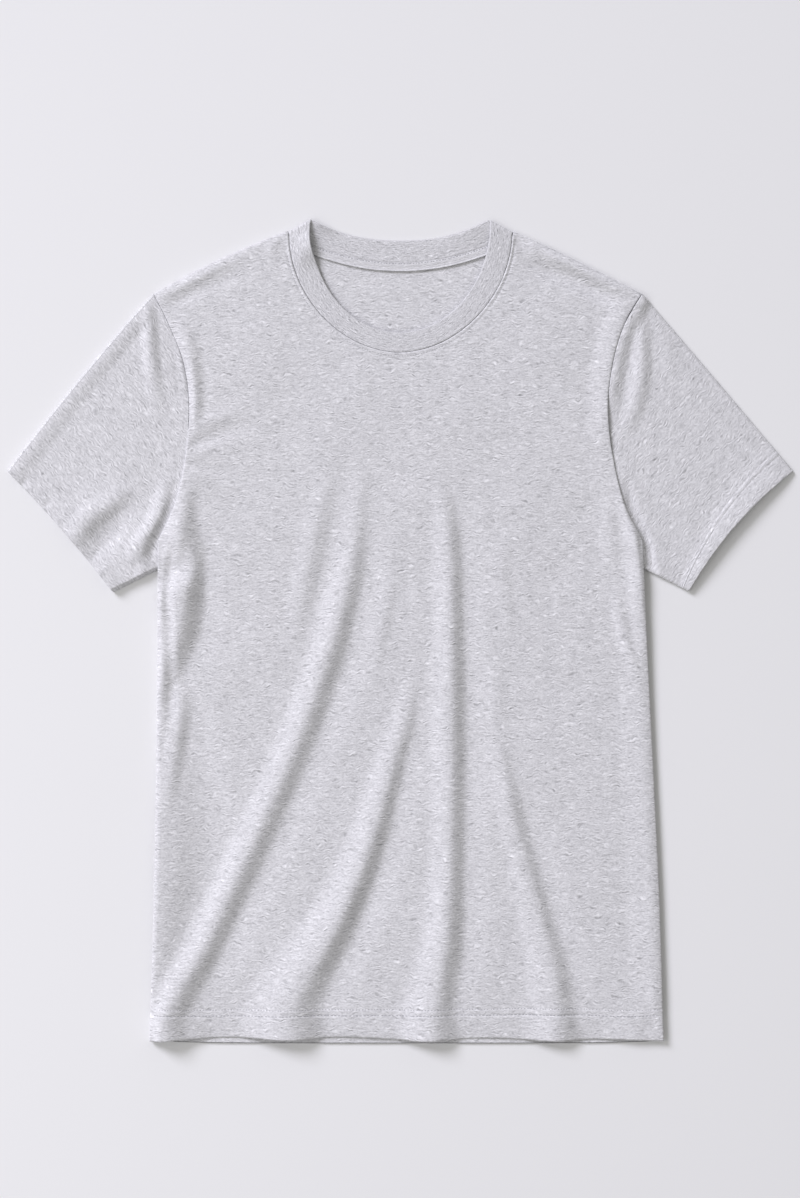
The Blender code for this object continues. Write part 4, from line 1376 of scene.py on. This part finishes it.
def body_threads(borders, finish):
    """The hem's needle rows on both sides, and the topstitch beside the neck band."""
    x = np.linspace(SIDE[-1].right + 3.0, SIDE[-1].left - 3.0, 700)
    sway = 0.6 * ripples(x, x * 0, 9, 90.0)
    upper = np.column_stack([x, HEM_ROWS[0] - sway])
    lower = np.column_stack([x, HEM_ROWS[1] - sway])
    neck = arch(np.linspace(0.05, 0.95, 260), SEAM_HALF, SEAM_TOP, SEAM_DEPTH, SEAM_POWER, SEAM_CUT + 3.6)
    front = make_thread("front_stitches", [
        Row(front_line(upper, borders), 2.9, 1.1, 0.42, 0.22),
        Row(front_line(lower, borders), 3.4, 2.6, 0.42, 0.22),
        Row(front_line(neck, borders), 2.6, 1.6, 0.3, 0.18),
    ], finish, 31)
    under = [np.column_stack([x, np.full(x.shape, y), np.full(x.shape, 0.14)]) for y in HEM_ROWS]
    back = make_thread("back_stitches", [Row(line, 3.1, 2.2, 0.4, 0.1) for line in under], finish, 37)
    tape = back_neck(np.linspace(0.06, 0.94, 200), SEAM_HALF, SEAM_TOP, BACK_SEAM_LOW, 0.9)
    tape = np.column_stack([tape, np.full(len(tape), JERSEY + GAP + TAPE_WALL - 0.15)])
    neck = make_thread("tape_stitches", [Row(tape, 2.8, 1.6, 0.35, 0.2)], finish, 41)
    return front, back, neck


# ---- stage ----
def make_stage():
    floor_size = 6.0
    mesh = bpy.data.meshes.new("floor")
    h = floor_size / 2
    mesh.from_pydata([(-h, -h, 0), (h, -h, 0), (h, h, 0), (-h, h, 0)], [], [(0, 1, 2, 3)])
    floor = bpy.data.objects.new("floor", mesh)
    floor.location.z = CAD_BOX[0][2]
    finish = bpy.data.materials.new("floor_paint")
    finish.use_nodes = True
    shader = finish.node_tree.nodes["Principled BSDF"]
    shader.inputs["Base Color"].default_value = (0.80, 0.80, 0.80, 1.0)
    shader.inputs["Roughness"].default_value = 0.9
    shader.inputs["Specular IOR Level"].default_value = 0.2
    mesh.materials.append(finish)
    bpy.context.scene.collection.objects.link(floor)

    world = bpy.data.worlds.new("room")
    world.use_nodes = True
    sky = world.node_tree.nodes["Background"]
    sky.inputs["Color"].default_value = (1.0, 0.99, 0.965, 1.0)
    sky.inputs["Strength"].default_value = 0.40
    bpy.context.scene.world = world
    for lamp in LAMPS:
        light = bpy.data.lights.new(lamp.name, "AREA")
        light.shape = "DISK"
        light.size = lamp.size
        light.energy = lamp.power
        light.color = lamp.colour
        placed = bpy.data.objects.new(lamp.name, light)
        azimuth, elevation = radians(lamp.azimuth), radians(lamp.elevation)
        toward = Vector((cos(elevation) * cos(azimuth), cos(elevation) * sin(azimuth), sin(elevation)))
        placed.location = toward * lamp.away
        placed.rotation_euler = (-toward).to_track_quat("-Z", "Y").to_euler()
        bpy.context.scene.collection.objects.link(placed)


def make_camera():
    """Straight above, with the neck up in the picture."""
    frame_height, above = 1138.0 * MM, 2.45
    camera = bpy.data.cameras.new("camera")
    camera.sensor_fit = "VERTICAL"
    camera.sensor_height = 24.0
    camera.lens = camera.sensor_height * above / frame_height
    made = bpy.data.objects.new("camera", camera)
    made.location = (-0.5 * MM, 31.3 * MM, above)
    bpy.context.scene.collection.objects.link(made)
    bpy.context.scene.camera = made


def main():
    bpy.context.scene.view_settings.view_transform = "Standard"
    make_camera()
    make_stage()
    jersey, rib, tape, thread = (knit_material(name, knit) for name, knit in KNITS.items())
    borders = body_borders(is_front=True)
    body = np.vstack([line[:-1] for line in borders.values()])
    front, back = make_front(jersey), make_back(jersey)
    sleeves = [make_sleeve(side, body, jersey) for side in ("right", "left")]
    band, strip = make_rib(rib), make_tape(tape)
    # the thread material's dark grey is partly painted shade of the needle holes, not only the thread's own
    # colour
    front_thread, back_thread, tape_thread = body_threads(borders, thread)


main()
